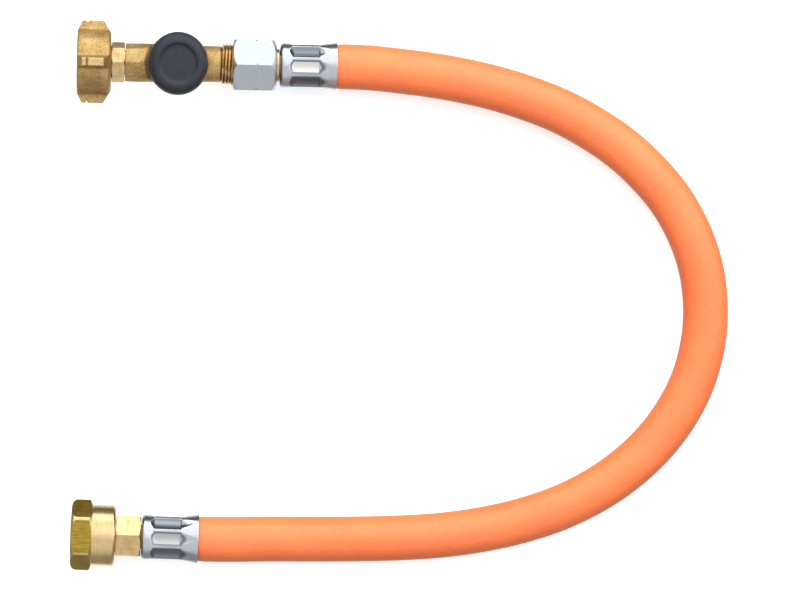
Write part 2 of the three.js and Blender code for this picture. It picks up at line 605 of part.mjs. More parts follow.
function pushPin() {
  const grooveLow = PIN_LAND_BOTTOM + (PIN_LAND_HEIGHT - PIN_GROOVE_HEIGHT) / 2;
  const groove = PIN_LAND_RADIUS - PIN_GROOVE_DEPTH;
  return upright(turned([
    [PIN_LAND_BOTTOM, 0], [PIN_LAND_BOTTOM, PIN_LAND_RADIUS], [grooveLow, PIN_LAND_RADIUS],
    [grooveLow, groove], [grooveLow + PIN_GROOVE_HEIGHT, groove],
    [grooveLow + PIN_GROOVE_HEIGHT, PIN_LAND_RADIUS], [PASSAGE_TOP, PIN_LAND_RADIUS],
    [PASSAGE_TOP, PIN_RADIUS], [PIN_TOP - 0.3, PIN_RADIUS], [PIN_TOP, PIN_RADIUS - 0.3], [PIN_TOP, 0],
  ], SMALL_ROUND), BOSS_PLACE);
}

function pinSeal() {
  const radius = PIN_LAND_RADIUS - PIN_GROOVE_DEPTH + GAP + PIN_SEAL_WIRE;
  const middle = PIN_LAND_BOTTOM + PIN_LAND_HEIGHT / 2;
  return upright(roundRing(middle, radius, PIN_SEAL_WIRE), BOSS_PLACE);
}

function bushRing() {
  const middle = (BUSH_BOTTOM + FLANGE_TOP) / 2;
  return upright(roundRing(middle, PIN_RADIUS + GAP + PIN_RING_WIRE, PIN_RING_WIRE), BOSS_PLACE);
}

function pinSpring() {
  const start = BUSH_TOP - BUSH_SPRING_POCKET_DEPTH + GAP;
  const end = CORE_BOTTOM - GAP;
  return upright(coil(start, end, PIN_SPRING_RADIUS, PIN_SPRING_WIRE, PIN_SPRING_TURNS), BOSS_PLACE);
}

// Stiff disc inside the rubber cap, with a hub that sits on the pin's end
function buttonCore() {
  const socket = PIN_RADIUS + GAP;
  const rim = CAP_WIDTH / 2 - CAP_SKIRT_WALL - GAP;
  return upright(turned([
    [CORE_BOTTOM - CORE_HUB_HEIGHT, socket], [CORE_BOTTOM - CORE_HUB_HEIGHT, CORE_HUB_RADIUS],
    [CORE_BOTTOM, CORE_HUB_RADIUS], [CORE_BOTTOM, rim], [CORE_TOP, rim], [CORE_TOP, 0],
    [PIN_TOP + GAP, 0], [PIN_TOP + GAP, socket],
  ], SMALL_ROUND), BOSS_PLACE);
}

// Rubber cap: a slightly oval mushroom with rolled edges, a rim and a shallow dish for the thumb
function buttonCap() {
  const radius = CAP_WIDTH / 2;
  const inside = radius - CAP_SKIRT_WALL;
  const ceiling = CORE_TOP + GAP;
  const rim = CAP_DISH_RADIUS + 0.7;
  const outline = [[CAP_BOTTOM, inside], [CAP_BOTTOM, radius - 0.5], [CAP_BOTTOM + 0.6, radius]];
  const domeStart = CAP_BOTTOM + 0.38 * CAP_HEIGHT;
  for (let step = 0; step <= 4; step += 1) {
    const angle = (Math.PI / 2) * (step / 4);
    const along = domeStart + (CAP_TOP - domeStart) * Math.sin(angle);
    outline.push([along, rim + (radius - rim) * Math.cos(angle)]);
  }
  outline.push([CAP_TOP - 0.1, CAP_DISH_RADIUS + 0.2], [CAP_TOP - CAP_DISH_DEPTH, CAP_DISH_RADIUS - 0.5]);
  outline.push([CAP_TOP - CAP_DISH_DEPTH, 0], [ceiling, 0], [ceiling, inside]);
  return upright(turned(outline, CAP_FACETS).scale(1, CAP_STRETCH, 1), BOSS_PLACE);
}

// Hexagon blank between two turned end cones. Each end gives its cone's length and its flat face's radius.
function hexBlank(flats, start, end, frontCone, frontFace, backCone, backFace, roll = 0) {
  const beyond = flats / 2 / Math.cos(Math.PI / 6) + 0.05;
  const blank = solid(turned([
    [start, 0], [start, frontFace], [start + frontCone, beyond], [end - backCone, beyond],
    [end, backFace], [end, 0],
  ], NUT_FACETS));
  return blank.intersect(solid(prism(6, flats, start, end, roll)));
}

// The zinc-plated nut, with the small corner notches that mark a left-hand thread
function steelUnionNut() {
  const thread = BODY_THREAD_RADIUS + GAP;
  const hole = TAIL_NECK_RADIUS + GAP;
  const blank = hexBlank(
    STEEL_NUT_FLATS, STEEL_NUT_START, STEEL_NUT_END,
    STEEL_NUT_FRONT_CONE, STEEL_NUT_FRONT_FACE, STEEL_NUT_BACK_CONE, STEEL_NUT_BACK_FACE,
  );
  const bore = solid(turned([
    [STEEL_NUT_START - 1, 0], [STEEL_NUT_START - 1, thread], [STEEL_NUT_SHOULDER, thread],
    [STEEL_NUT_SHOULDER, hole], [STEEL_NUT_END + 1, hole], [STEEL_NUT_END + 1, 0],
  ], 28));
  const corner = STEEL_NUT_FLATS / 2 / Math.cos(Math.PI / 6);
  const notch = () => {
    const side = STEEL_NUT_NOTCH * Math.SQRT2;
    const bar = new THREE.BoxGeometry(side, 6, side).rotateY(Math.PI / 4);
    return bar.translate(STEEL_NUT_START + STEEL_NUT_NOTCH_PLACE, 0, corner + 0.1);
  };
  return surface(spread(blank.subtract(bore), notch, 6, 'subtract'));
}

// Barbed stem that the hose is pressed onto, as the outline from a ferrule's closed end to the stem's tip
function barbedOutline(ferruleStart) {
  const first = ferruleStart + FERRULE_WALL + 2 * GAP;
  const tip = ferruleStart + TAIL_STEM_LENGTH;
  const pitch = (tip - first) / TAIL_BARBS;
  const outline = [[first, TAIL_ROOT_RADIUS], [first, TAIL_STEM_RADIUS]];
  for (let i = 0; i < TAIL_BARBS; i += 1) {
    const end = first + pitch * (i + 1);
    outline.push([end - pitch * 0.6, TAIL_STEM_RADIUS], [end - pitch * 0.6, TAIL_BARB_RADIUS]);
    outline.push([end, TAIL_STEM_RADIUS]);
  }
  outline.push([tip, TAIL_BORE_RADIUS]);
  return outline;
}

// Tail of the upper end: a sealing cone, a flange inside the zinc nut, a round neck and the barbed stem
function inletHoseTail() {
  const slope = (BODY_CONE_RADIUS - BODY_BORE_RADIUS) / BODY_CONE_LENGTH;
  const noseStart = BODY_END - BODY_CONE_LENGTH + 2 * GAP;
  const noseRadius = BODY_BORE_RADIUS;
  const flangeStart = BODY_END + GAP;
  const coneEnd = noseRadius + slope * (flangeStart - noseStart);
  const flangeEnd = STEEL_NUT_SHOULDER - GAP;
  return turned([
    [noseStart, TAIL_BORE_RADIUS], [noseStart, noseRadius - GAP], [flangeStart, coneEnd - GAP],
    [flangeStart, TAIL_FLANGE_RADIUS], [flangeEnd, TAIL_FLANGE_RADIUS], [flangeEnd, TAIL_NECK_RADIUS],
    [INLET_FERRULE_START - GAP, TAIL_NECK_RADIUS], [INLET_FERRULE_START - GAP, TAIL_ROOT_RADIUS],
    ...barbedOutline(INLET_FERRULE_START),
  ], SMALL_ROUND);
}

// Tail of the lower end: a nose for the flat seal, a shaft for the swivel nut, a hexagon and the barbed stem
function outletHoseTail() {
  const body = solid(turned([
    [OUTLET_NOSE_FRONT, TAIL_BORE_RADIUS], [OUTLET_NOSE_FRONT, OUTLET_SHAFT_RADIUS - 0.4],
    [OUTLET_NOSE_FRONT + 0.4, OUTLET_SHAFT_RADIUS], ...grooveOutline(OUTLET_SHAFT_RADIUS, SWIVEL_SHOULDER),
    [OUTLET_HEX_START + 1, OUTLET_SHAFT_RADIUS], [OUTLET_HEX_START + 1, TAIL_ROOT_RADIUS],
    ...barbedOutline(OUTLET_FERRULE_START),
  ], SMALL_ROUND));
  const flat = OUTLET_HEX_FLATS / 2;
  const hex = hexBlank(
    OUTLET_HEX_FLATS, OUTLET_HEX_START, OUTLET_HEX_END,
    OUTLET_HEX_FRONT_CHAMFER, flat, OUTLET_HEX_BACK_CHAMFER, flat, OUTLET_HEX_ROLL,
  );
  const bore = solid(rod(OUTLET_HEX_START - 1, OUTLET_HEX_END + 1, TAIL_BORE_RADIUS + 0.5, SMALL_ROUND));
  return surface(body.add(hex.subtract(bore)));
}

// One crimp pocket: a flat floor with sloping sides that runs out towards the mouth. Growing it and lowering
// its floor gives the bump that the same press stroke leaves on the inside of the sheet.
function pocketTool(start, grow, floorRadius, spreadRate, roundness) {
  const rise = FERRULE_SHOULDER_RADIUS - POCKET_FLOOR_RADIUS;
  const height = 2 * rise;
  const share = (spreadRate * height) / rise;
  const floorStart = start + POCKET_FLOOR_START - grow;
  const floorEnd = start + POCKET_FLOOR_START + POCKET_FLOOR_LENGTH + grow;
  const floorWidth = POCKET_FLOOR_WIDTH + grow;
  const topWidth = floorWidth + 2 * POCKET_SIDE_SLOPE * share;
  const topStart = floorStart - POCKET_FRONT_SLOPE * share;
  const topEnd = floorEnd + POCKET_BACK_SLOPE * share;
  return lofted([
    slotRing(floorStart, floorEnd, floorWidth, floorRadius, 0.12 * roundness * floorWidth),
    slotRing(topStart, topEnd, topWidth, floorRadius + height, 0.3 * roundness * topWidth),
  ]);
}

// Crimped sheet-steel ferrule: a closed shoulder with a hole for the tail, a waist and a flared mouth
function ferrule(start, flareRadius, roll = 0) {
  const shoulder = FERRULE_SHOULDER_RADIUS;
  const waist = FERRULE_WAIST_RADIUS;
  const waistStart = start + POCKET_FLOOR_START;
  const waistEnd = waistStart + POCKET_FLOOR_LENGTH;
  const end = start + FERRULE_LENGTH;
  const hole = TAIL_ROOT_RADIUS + GAP;
  const corner = FERRULE_CORNER * (1 - Math.SQRT1_2);
  const flareStart = end - FERRULE_FLARE_LENGTH;
  const flareRise = (waist + 2 * flareRadius) / 3;
  const outline = [
    [start, shoulder - FERRULE_CORNER], [start + corner, shoulder - corner],
    [start + FERRULE_CORNER, shoulder],
    [waistStart, waist], [waistEnd, waist], [flareStart, flareRise], [end, flareRadius],
  ];
  const outside = solid(turned([[start, 0], ...outline, [end, 0]], FERRULE_FACETS));
  const inner = [
    [start - 1, 0], [start - 1, hole], [start + FERRULE_WALL, hole],
    [start + FERRULE_WALL, shoulder - FERRULE_CORNER], [start + FERRULE_CORNER, shoulder - FERRULE_WALL],
    [waistStart, waist - FERRULE_WALL], [waistEnd, waist - FERRULE_WALL],
    [flareStart, flareRise - FERRULE_WALL], [end + 0.1, flareRadius - FERRULE_WALL + 0.1],
    [end + 0.1, 0],
  ];
  const bumpFloor = POCKET_FLOOR_RADIUS - FERRULE_WALL;
  const pocket = () => pocketTool(start, 0, POCKET_FLOOR_RADIUS, 1, 1);
  const bump = () => pocketTool(start, 0.5, bumpFloor, 0.6, 0);
  const inside = spread(solid(turned(inner, FERRULE_FACETS)), bump, POCKETS, 'subtract', roll);
  return surface(spread(outside, pocket, POCKETS, 'subtract', roll).subtract(inside));
}

// The swivel nut: a hexagon whose corners are turned down, and a round collar behind it
function outletUnionNut() {
  const flat = SWIVEL_FLATS / 2;
  const blank = solid(turned([
    [0, 0], [0, SWIVEL_FRONT_FACE], [SWIVEL_FRONT_CHAMFER, SWIVEL_CORNER_RADIUS],
    [SWIVEL_HEX_LENGTH - SWIVEL_CHAMFER, SWIVEL_CORNER_RADIUS], [SWIVEL_HEX_LENGTH, flat - 0.2],
    [SWIVEL_HEX_LENGTH, 0],
  ]));
  const hex = blank.intersect(solid(prism(6, SWIVEL_FLATS, 0, SWIVEL_HEX_LENGTH, 30)));
  const collar = solid(turned([
    [SWIVEL_HEX_LENGTH - 1, 0], [SWIVEL_HEX_LENGTH - 1, SWIVEL_COLLAR_RADIUS],
    [SWIVEL_LENGTH - SWIVEL_COLLAR_CHAMFER, SWIVEL_COLLAR_RADIUS],
    [SWIVEL_LENGTH, SWIVEL_COLLAR_RADIUS - SWIVEL_COLLAR_CHAMFER], [SWIVEL_LENGTH, 0],
  ]));
  const hole = OUTLET_SHAFT_RADIUS + GAP;
  const bore = solid(turned([
    [-0.1, 0], [-0.1, SWIVEL_THREAD_RADIUS + SWIVEL_THREAD_LEAD + 0.1],
    [SWIVEL_THREAD_LEAD, SWIVEL_THREAD_RADIUS],
    [SWIVEL_SHOULDER, SWIVEL_THREAD_RADIUS], [SWIVEL_SHOULDER, hole], [SWIVEL_LENGTH + 1, hole],
    [SWIVEL_LENGTH + 1, 0],
  ], 24));
  return surface(hex.add(collar).subtract(bore));
}

// The squeezed stretch of hose inside a ferrule, from the tail's root to just past the mouth
function crimpedEnd(ferruleStart) {
  const start = ferruleStart + FERRULE_WALL + 2 * GAP;
  const crimpEnd = ferruleStart + HOSE_CRIMP_LENGTH;
  const mouth = ferruleStart + FERRULE_LENGTH;
  const stretched = TAIL_BARB_RADIUS + GAP;
  const stemEnd = ferruleStart + TAIL_STEM_LENGTH + GAP;
  return turned([
    [start, stretched], [start, HOSE_CRIMPED_RADIUS], [crimpEnd, HOSE_CRIMPED_RADIUS],
    [mouth - 0.4, HOSE_RADIUS - 0.6], [mouth + 1.2, HOSE_RADIUS - 0.6], [mouth + 1.2, HOSE_BORE_RADIUS],
    [stemEnd, HOSE_BORE_RADIUS], [stemEnd, stretched],
  ], HOSE_SIDES);
}

// The hose: one tube along its route, joined to its two squeezed ends
function hose(inletEnd, outletEnd) {
  const path = new THREE.CatmullRomCurve3(HOSE_ROUTE.map(([x, y, z]) => new THREE.Vector3(x, y, z)));
  const section = new THREE.Shape();
  const bore = new THREE.Path();
  for (let i = 0; i < HOSE_SIDES; i += 1) {
    const angle = (2 * Math.PI * i) / HOSE_SIDES;
    section[i ? 'lineTo' : 'moveTo'](HOSE_RADIUS * Math.cos(angle), HOSE_RADIUS * Math.sin(angle));
  }
  for (let i = 0; i < HOSE_BORE_SIDES; i += 1) {
    const angle = (-2 * Math.PI * i) / HOSE_BORE_SIDES;
    bore[i ? 'lineTo' : 'moveTo'](HOSE_BORE_RADIUS * Math.cos(angle), HOSE_BORE_RADIUS * Math.sin(angle));
  }
  section.closePath();
  bore.closePath();
  section.holes.push(bore);
  const tube = solid(new THREE.ExtrudeGeometry(section, {
    steps: HOSE_STEPS, bevelEnabled: false, extrudePath: path,
  }));
  const ends = [[inletEnd, INLET_FERRULE_START], [outletEnd, OUTLET_FERRULE_START]];
  let body = tube;
  for (const [group, ferruleStart] of ends) {
    group.updateMatrixWorld(true);
    body = body.add(solid(crimpedEnd(ferruleStart).applyMatrix4(group.matrixWorld)));
  }
  return surface(body);
}

// Finishes, as colour, roughness and metalness
const CAST_BRASS = ['#c9a565', 0.55, 0.9];
const TURNED_BRASS = ['#d6b878', 0.25, 1];
const ZINC = ['#d5dbe4', 0.35, 0.9];
const FERRULE_STEEL = ['#9aa4af', 0.3, 1];
const SPRING_STEEL = ['#b9bcc0', 0.3, 1];
const ORANGE_RUBBER = ['#fb9257', 0.75, 0];
const BLACK_RUBBER = ['#3a3d45', 0.7, 0];
const SEAL_RUBBER = ['#222326', 0.8, 0];
const NYLON = ['#44474d', 0.6, 0];

// Adds a named piece with its own material to a group
function piece(group, name, geometry, [color, roughness, metalness]) {
  const material = new THREE.MeshStandardMaterial({ color, roughness, metalness });
  const mesh = new THREE.Mesh(geometry, material);
  mesh.name = name;
  group.add(mesh);
}

// A group whose X axis is the axis of one end, set down at its front face
function endGroup(x, y, height, yaw, pitch, roll) {
  const group = new THREE.Group();
  group.position.set(x, y, height);
  group.rotation.set(radians(roll), radians(pitch), radians(yaw), 'ZYX');
  return group;
}

const assembly = new THREE.Group();
const inlet = endGroup(INLET_X, INLET_Y, INLET_HEIGHT, INLET_YAW, INLET_PITCH, INLET_ROLL);
const outlet = endGroup(OUTLET_X, OUTLET_Y, OUTLET_HEIGHT, OUTLET_YAW, OUTLET_PITCH, 0);
assembly.add(inlet, outlet);

piece(inlet, 'inlet_union_nut', inletUnionNut(), CAST_BRASS);
piece(inlet, 'inlet_seal', flatSeal(NIPPLE_FRONT, NIPPLE_SHAFT_RADIUS), SEAL_RUBBER);
piece(inlet, 'inlet_retaining_ring', retainingRing(NIPPLE_SHAFT_RADIUS, NUT_SHOULDER), SPRING_STEEL);
piece(inlet, 'inlet_nipple', inletNipple(), TURNED_BRASS);
piece(inlet, 'nipple_o_ring', nippleRing(), SEAL_RUBBER);
piece(inlet, 'valve_body', valveBody(), CAST_BRASS);
piece(inlet, 'poppet_guide', poppetGuide(), TURNED_BRASS);
piece(inlet, 'poppet', poppet(), TURNED_BRASS);
piece(inlet, 'poppet_seal', poppetSeal(), SEAL_RUBBER);
piece(inlet, 'poppet_spring', poppetSpring(), SPRING_STEEL);
piece(inlet, 'gland_bush', glandBush(), TURNED_BRASS);
piece(inlet, 'bush_o_ring', bushRing(), SEAL_RUBBER);
piece(inlet, 'push_pin', pushPin(), SPRING_STEEL);
piece(inlet, 'pin_seal', pinSeal(), SEAL_RUBBER);
piece(inlet, 'pin_spring', pinSpring(), SPRING_STEEL);
piece(inlet, 'button_core', buttonCore(), NYLON);
piece(inlet, 'button_cap', buttonCap(), BLACK_RUBBER);
piece(inlet, 'steel_union_nut', steelUnionNut(), ZINC);
piece(inlet, 'inlet_hose_tail', inletHoseTail(), TURNED_BRASS);
const inletFerrule = ferrule(INLET_FERRULE_START, INLET_FLARE_RADIUS, INLET_POCKET_ROLL);
piece(inlet, 'inlet_ferrule', inletFerrule, FERRULE_STEEL);
piece(outlet, 'outlet_ferrule', ferrule(OUTLET_FERRULE_START, OUTLET_FLARE_RADIUS), FERRULE_STEEL);
piece(outlet, 'outlet_hose_tail', outletHoseTail(), TURNED_BRASS);
piece(outlet, 'outlet_retaining_ring', retainingRing(OUTLET_SHAFT_RADIUS, SWIVEL_SHOULDER), SPRING_STEEL);
piece(outlet, 'outlet_seal', flatSeal(OUTLET_NOSE_FRONT, OUTLET_SHAFT_RADIUS), SEAL_RUBBER);
piece(outlet, 'outlet_union_nut', outletUnionNut(), TURNED_BRASS);
piece(assembly, 'hose', hose(inlet, outlet), ORANGE_RUBBER);

export default assembly;
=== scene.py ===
"""Dresses the flexible gas hose: brass cylinder nut, line-break valve with its push button, zinc-plated
nut, crimped ferrules, cloth-wrapped orange rubber hose and swivel nut. Metres, +Z up, in the part's frame.

Each fitting is worked out on its bench axes, in millimetres: x runs along the axis from the nut's open face
towards the hose, and z points up. Every surface is a radius over a grid of places x and angles round x.
"""

import json
import math
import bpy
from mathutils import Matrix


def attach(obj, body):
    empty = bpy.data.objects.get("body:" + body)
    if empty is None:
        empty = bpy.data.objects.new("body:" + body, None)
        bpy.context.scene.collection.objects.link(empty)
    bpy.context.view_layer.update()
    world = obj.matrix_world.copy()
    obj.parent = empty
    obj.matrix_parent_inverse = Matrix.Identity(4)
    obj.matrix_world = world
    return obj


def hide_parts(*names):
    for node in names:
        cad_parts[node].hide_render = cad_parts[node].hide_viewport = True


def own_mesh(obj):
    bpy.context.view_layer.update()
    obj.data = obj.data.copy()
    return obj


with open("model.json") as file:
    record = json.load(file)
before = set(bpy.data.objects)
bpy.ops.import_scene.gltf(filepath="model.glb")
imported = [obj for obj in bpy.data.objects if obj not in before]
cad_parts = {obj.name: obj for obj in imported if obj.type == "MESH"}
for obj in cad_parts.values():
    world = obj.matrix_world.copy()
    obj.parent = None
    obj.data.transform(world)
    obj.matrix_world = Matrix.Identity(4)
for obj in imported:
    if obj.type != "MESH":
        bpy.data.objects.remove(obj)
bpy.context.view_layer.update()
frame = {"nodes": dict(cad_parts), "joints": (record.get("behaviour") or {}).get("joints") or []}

from types import SimpleNamespace

import bpy
import bmesh
import numpy as np
from bpy.props import FloatProperty, FloatVectorProperty, IntProperty, PointerProperty
from bpy.types import Operator, Panel, PropertyGroup
from mathutils import Euler, Vector

bl_info = {
    "name": "Gas hose finishes",
    "version": (1, 0, 0),
    "blender": (4, 5, 0),
    "location": "3D Viewport > Sidebar > Gas hose",
    "description": "Detailed surfaces and finishes for a flexible gas hose assembly",
    "category": "Object",
}

MM = 0.001
TURN = 2 * math.pi

# Where the two ends lie: place of the front face in millimetres; roll, pitch and yaw in degrees
UPPER_END = ((-47.2, 87.6, 16.1729), (3.0, 3.6, -1.0))
LOWER_END = ((-49.8, -90.1, 12.2457), (0.0, 2.6, -2.27))

# Places along the upper end's axis where one piece stops and the next one starts
COLLAR_START = 12.95
COLLAR_END = 17.9
BODY_START = 18.05
BOSS_PLACE = 37.7
BARREL_END = 53.7
THREAD_START = 54.0
BODY_END = 66.0
STEEL_NUT_START = 58.5
STEEL_NUT_END = 74.8
UPPER_FERRULE_START = 76.2
UPPER_STEM_START = 77.6

# Springs: ends of the coil from its seat to the end that moves, radius of the coil, radius of the wire
BUTTON_SPRING = (10.9, 15.9), 2.9, 0.3
POPPET_SPRING = (26.8, 23.7), 1.8, 0.25
SPRING_TURNS = 3

# The same along the lower end's axis
SWIVEL_END = 16.7
TAIL_HEX_START = 17.0
TAIL_HEX_END = 26.3
LOWER_FERRULE_START = 26.6
LOWER_STEM_START = 28.0

# Barbed stem of a hose tail: step ahead of its start, radius and fillet
STEM = [
    (0.0, 4.6, 0.1), (0.0, 3.05, 0.1), (3.3, 3.05, 0.05), (3.3, 3.5, 0.05), (8.5, 3.05, 0.05),
    (11.8, 3.05, 0.05), (11.8, 3.5, 0.05), (17.0, 3.05, 0.05), (17.0, 2.1, 0.1),
]

# Tarnish in the casting's pits and in its thread's roots; painted shade at the foot of its boss; painted
# highlight on a ferrule's uppermost floor
PIT_BROWN = (0.09, 0.06, 0.03)
ROOT_BROWN = (0.16, 0.075, 0.02)
FOOT_PAINTED_SHADE = (0.14, 0.07, 0.022)
PAINTED_HIGHLIGHT_STEEL = (1.0, 0.95, 0.89)

# Stretches that turn a cloud noise into rings round the axis, and into strokes along it
RINGS = (1.0, 0.02, 0.02)
STROKES = (0.05, 1.0, 1.0)

# Middle line of the free hose between the two ferrules' mouths, in metres
HOSE_ROUTE = [
    (0.0504, 0.0859, 0.01005), (0.062, 0.0855, 0.0094), (0.0739, 0.0843, 0.0089),
    (0.0842, 0.083, 0.00862), (0.0945, 0.0813, 0.00852), (0.1048, 0.0791, 0.0085),
    (0.1149, 0.0764, 0.0085), (0.1248, 0.0731, 0.0085), (0.1344, 0.0692, 0.0085),
    (0.1436, 0.0644, 0.0085), (0.1524, 0.0589, 0.0085), (0.1607, 0.0525, 0.0085),
    (0.1682, 0.0452, 0.0085), (0.1749, 0.0373, 0.0085), (0.1804, 0.0285, 0.0085),
    (0.1847, 0.0191, 0.0085), (0.1876, 0.0092, 0.0085), (0.189, -0.0012, 0.0085),
    (0.189, -0.0116, 0.0085), (0.1875, -0.0219, 0.0085), (0.1846, -0.0319, 0.0085),
    (0.1802, -0.0413, 0.0085), (0.1746, -0.05, 0.0085), (0.1679, -0.0579, 0.0085),
    (0.1602, -0.065, 0.0085), (0.1518, -0.0712, 0.0085), (0.1428, -0.0764, 0.0085),
    (0.1334, -0.0807, 0.0085), (0.1235, -0.0841, 0.0085), (0.1134, -0.0868, 0.0085),
    (0.1032, -0.0888, 0.0085), (0.0929, -0.0903, 0.0085), (0.0825, -0.0912, 0.0085),
    (0.0669, -0.0919, 0.0085), (0.0513, -0.0921, 0.00852), (0.0355, -0.0921, 0.00866),
    (0.0199, -0.0921, 0.0091), (0.0095, -0.0922, 0.0095), (-0.0015, -0.092, 0.00999),
]


# Sizes and colours that a user would change

def length(name, description, millimetres):
    """A length property whose default is given in millimetres."""
    return FloatProperty(name=name, description=description, default=millimetres * MM,
                         min=0.0, unit="LENGTH", precision=5)


def colour(name, description, red, green, blue):
    """A colour property from three display values of 0 to 255."""
    linear = [((c / 255 + 0.055) / 1.055) ** 2.4 if c > 10 else c / 255 / 12.92 for c in (red, green, blue)]
    return FloatVectorProperty(name=name, description=description, subtype="COLOR", size=3,
                               min=0.0, max=1.0, default=linear)


class CylinderNutSizes(PropertyGroup):
    """Cast brass union nut with four lugs."""
    length: length("Length", "Front face to back face", 12.8)
    radius: length("Radius", "Of the round shell between the lugs", 12.0)
    lug_radius: length("Lug radius", "Axis to the flat tip of a lug", 15.55)
    lug_width: length("Lug width", "Across the flat tip", 3.0)
    thread_radius: length("Thread radius", "Crest of the inside thread", 10.0)
    thread_depth: length("Thread depth", "Crest to root", 0.85)
    thread_pitch: length("Thread pitch", "One turn of the inside thread", 1.81)


class ValveSizes(PropertyGroup):
    """Nipple collar and the casting with its boss."""
    collar_flats: length("Collar flats", "Across the nipple's octagon", 14.0)
    octagon_flats: length("Body octagon flats", "Across the casting's octagon", 13.5)
    neck_radius: length("Neck radius", "Between octagon and bulge", 7.25)
    bulge_radius: length("Bulge radius", "At the boss", 9.2)
    bulge_spread: length("Bulge spread", "From its top to where it ends", 9.6)
    barrel_radius: length("Barrel radius", "Behind the bulge", 6.8)
    boss_radius: length("Boss radius", "Round boss that carries the button", 8.6)
    flange_radius: length("Flange radius", "Top rim of the boss", 11.5)
    thread_radius: length("Thread radius", "Crest of the outside thread", 8.0)
    thread_pitch: length("Thread pitch", "One turn of the outside thread", 1.2)


class ButtonSizes(PropertyGroup):
    """Rubber cap of the push button."""
    width: length("Width", "Across the cap, along the body", 22.4)
    stretch: FloatProperty(name="Stretch", description="Cap's size across the body over its size along it",
                           default=1.054, min=0.8, max=1.2)
    bottom: length("Bottom", "Lower rim above the body's axis", 13.2)
    top: length("Top", "Raised ring above the body's axis", 21.2)
    dish_radius: length("Dish radius", "Hollow for the thumb", 7.2)
    dish_depth: length("Dish depth", "Below the raised ring", 0.95)


class SteelNutSizes(PropertyGroup):
    """Zinc-plated union nut."""
    flats: length("Flats", "Across the hexagon", 19.0)
    notch_place: length("Notch place", "From the front face to the corner notches", 8.7)
    notch_depth: length("Notch depth", "Of the notch in each corner", 0.5)


class FerruleSizes(PropertyGroup):
    """Crimped sheet-steel ferrules."""
    length: length("Length", "Closed shoulder to flared mouth", 21.4)
    wall: length("Wall", "Sheet thickness", 0.8)
    shoulder_radius: length("Shoulder radius", "At the closed end", 8.65)
    waist_radius: length("Waist radius", "Between the pockets", 8.3)
    upper_flare: length("Upper flare", "Mouth radius of the upper ferrule", 9.15)
    lower_flare: length("Lower flare", "Mouth radius of the lower ferrule", 9.5)
    pockets: IntProperty(name="Pockets", description="Pressed round a ferrule", default=8, min=3, max=16)
    floor_radius: length("Floor radius", "Axis to a pocket's floor", 7.4)
    floor_start: length("Floor start", "Closed end to the floor", 4.8)
    floor_length: length("Floor length", "Along the axis", 9.9)
    floor_width: length("Floor width", "Round the axis", 3.9)


class SwivelNutSizes(PropertyGroup):
    """Swivel nut of the lower end, and the hexagon of its tail."""
    flats: length("Flats", "Across the nut's hexagon", 23.7)
    corner_radius: length("Corner radius", "The corners are turned down to it", 13.3)
    hex_length: length("Hexagon length", "Front face to the collar", 8.0)
    collar_radius: length("Collar radius", "Round collar behind the hexagon", 11.5)
    thread_radius: length("Thread radius", "Crest of the inside thread", 9.25)
    thread_pitch: length("Thread pitch", "One turn of the inside thread", 1.34)
    tail_flats: length("Tail flats", "Across the tail's hexagon", 15.0)


class HoseSizes(PropertyGroup):
    """Rubber hose with the weave of its wrapping cloth in its skin."""
    radius: length("Radius", "Outside", 8.5)
    bore_radius: length("Bore radius", "Inside", 3.15)
    wrap_pitch: length("Wrap pitch", "From one cloth line to the next", 0.85)
    wrap_angle: FloatProperty(name="Wrap angle", description="Slant of the cloth lines to the hose's axis",
                              default=math.radians(56), subtype="ANGLE")


class FinishColours(PropertyGroup):
    """Colours of the finishes."""
    cast_brass: colour("Cast brass", "Blasted casting", 232, 200, 140)
    cast_shade: colour("Cast brass shade", "Darker film in the grain", 168, 130, 70)
    turned_brass: colour("Turned brass", "Machined faces", 243, 215, 163)
    turned_shade: colour("Turned brass shade", "Tarnish between tool marks", 216, 172, 104)
    olive: colour("Drawn bar", "Dull skin of the hexagon bar", 194, 164, 72)
    olive_shade: colour("Drawn bar shade", "Darker strokes of the drawn skin", 150, 122, 42)
    zinc: colour("Zinc", "Plated nut", 214, 219, 224)
    zinc_shade: colour("Zinc shade", "Bluish patches of the plating", 196, 206, 214)
    ferrule: colour("Ferrule steel", "Pressed sheet", 220, 224, 231)
    ferrule_shade: colour("Ferrule shade", "Duller patches of the sheet", 204, 209, 217)
    # Painted shade for the slopes and lower floors of a ferrule's pockets
    ferrule_painted_shade: colour("Ferrule film", "Dark film on a pocket's slopes", 100, 107, 118)
    wire: colour("Spring wire", "Springs and wire rings", 190, 192, 196)
    orange: colour("Orange rubber", "Hose skin", 241, 121, 62)
    orange_shade: colour("Orange shade", "Valleys between cloth lines", 230, 102, 47)
    slate: colour("Cap rubber", "Push button", 28, 30, 38)
    slate_dust: colour("Cap dust", "Lighter bloom on the cap", 42, 45, 54)
    seal: colour("Seal rubber", "Flat seals and O-rings", 30, 31, 34)
    nylon: colour("Nylon", "Core of the button", 66, 69, 75)


class StageSettings(PropertyGroup):
    """Camera, floor and lights."""
    centre: FloatVectorProperty(name="Centre", description="Point under the camera", size=2, unit="LENGTH",
                                default=(0.074, -0.002))
    height: FloatProperty(name="Camera height", description="Above the floor", default=1.684, unit="LENGTH")
    lens: FloatProperty(name="Lens", description="Focal length in millimetres", default=200.0, min=10.0)
    key_power: FloatProperty(name="Key light", description="Large soft light behind the upper end",
                             default=28.0, min=0.0, unit="POWER")
    fill_power: FloatProperty(name="Fill light", description="Soft light from the other side",
                              default=2.0, min=0.0, unit="POWER")
    sky: FloatProperty(name="Sky", description="Brightness of the room", default=1.0, min=0.0)
    floor_colour: colour("Floor", "Plain pale floor", 250, 250, 250)
    floor_glow: FloatProperty(name="Floor glow", description="Light that comes through the floor",
                              default=0.4, min=0.0)


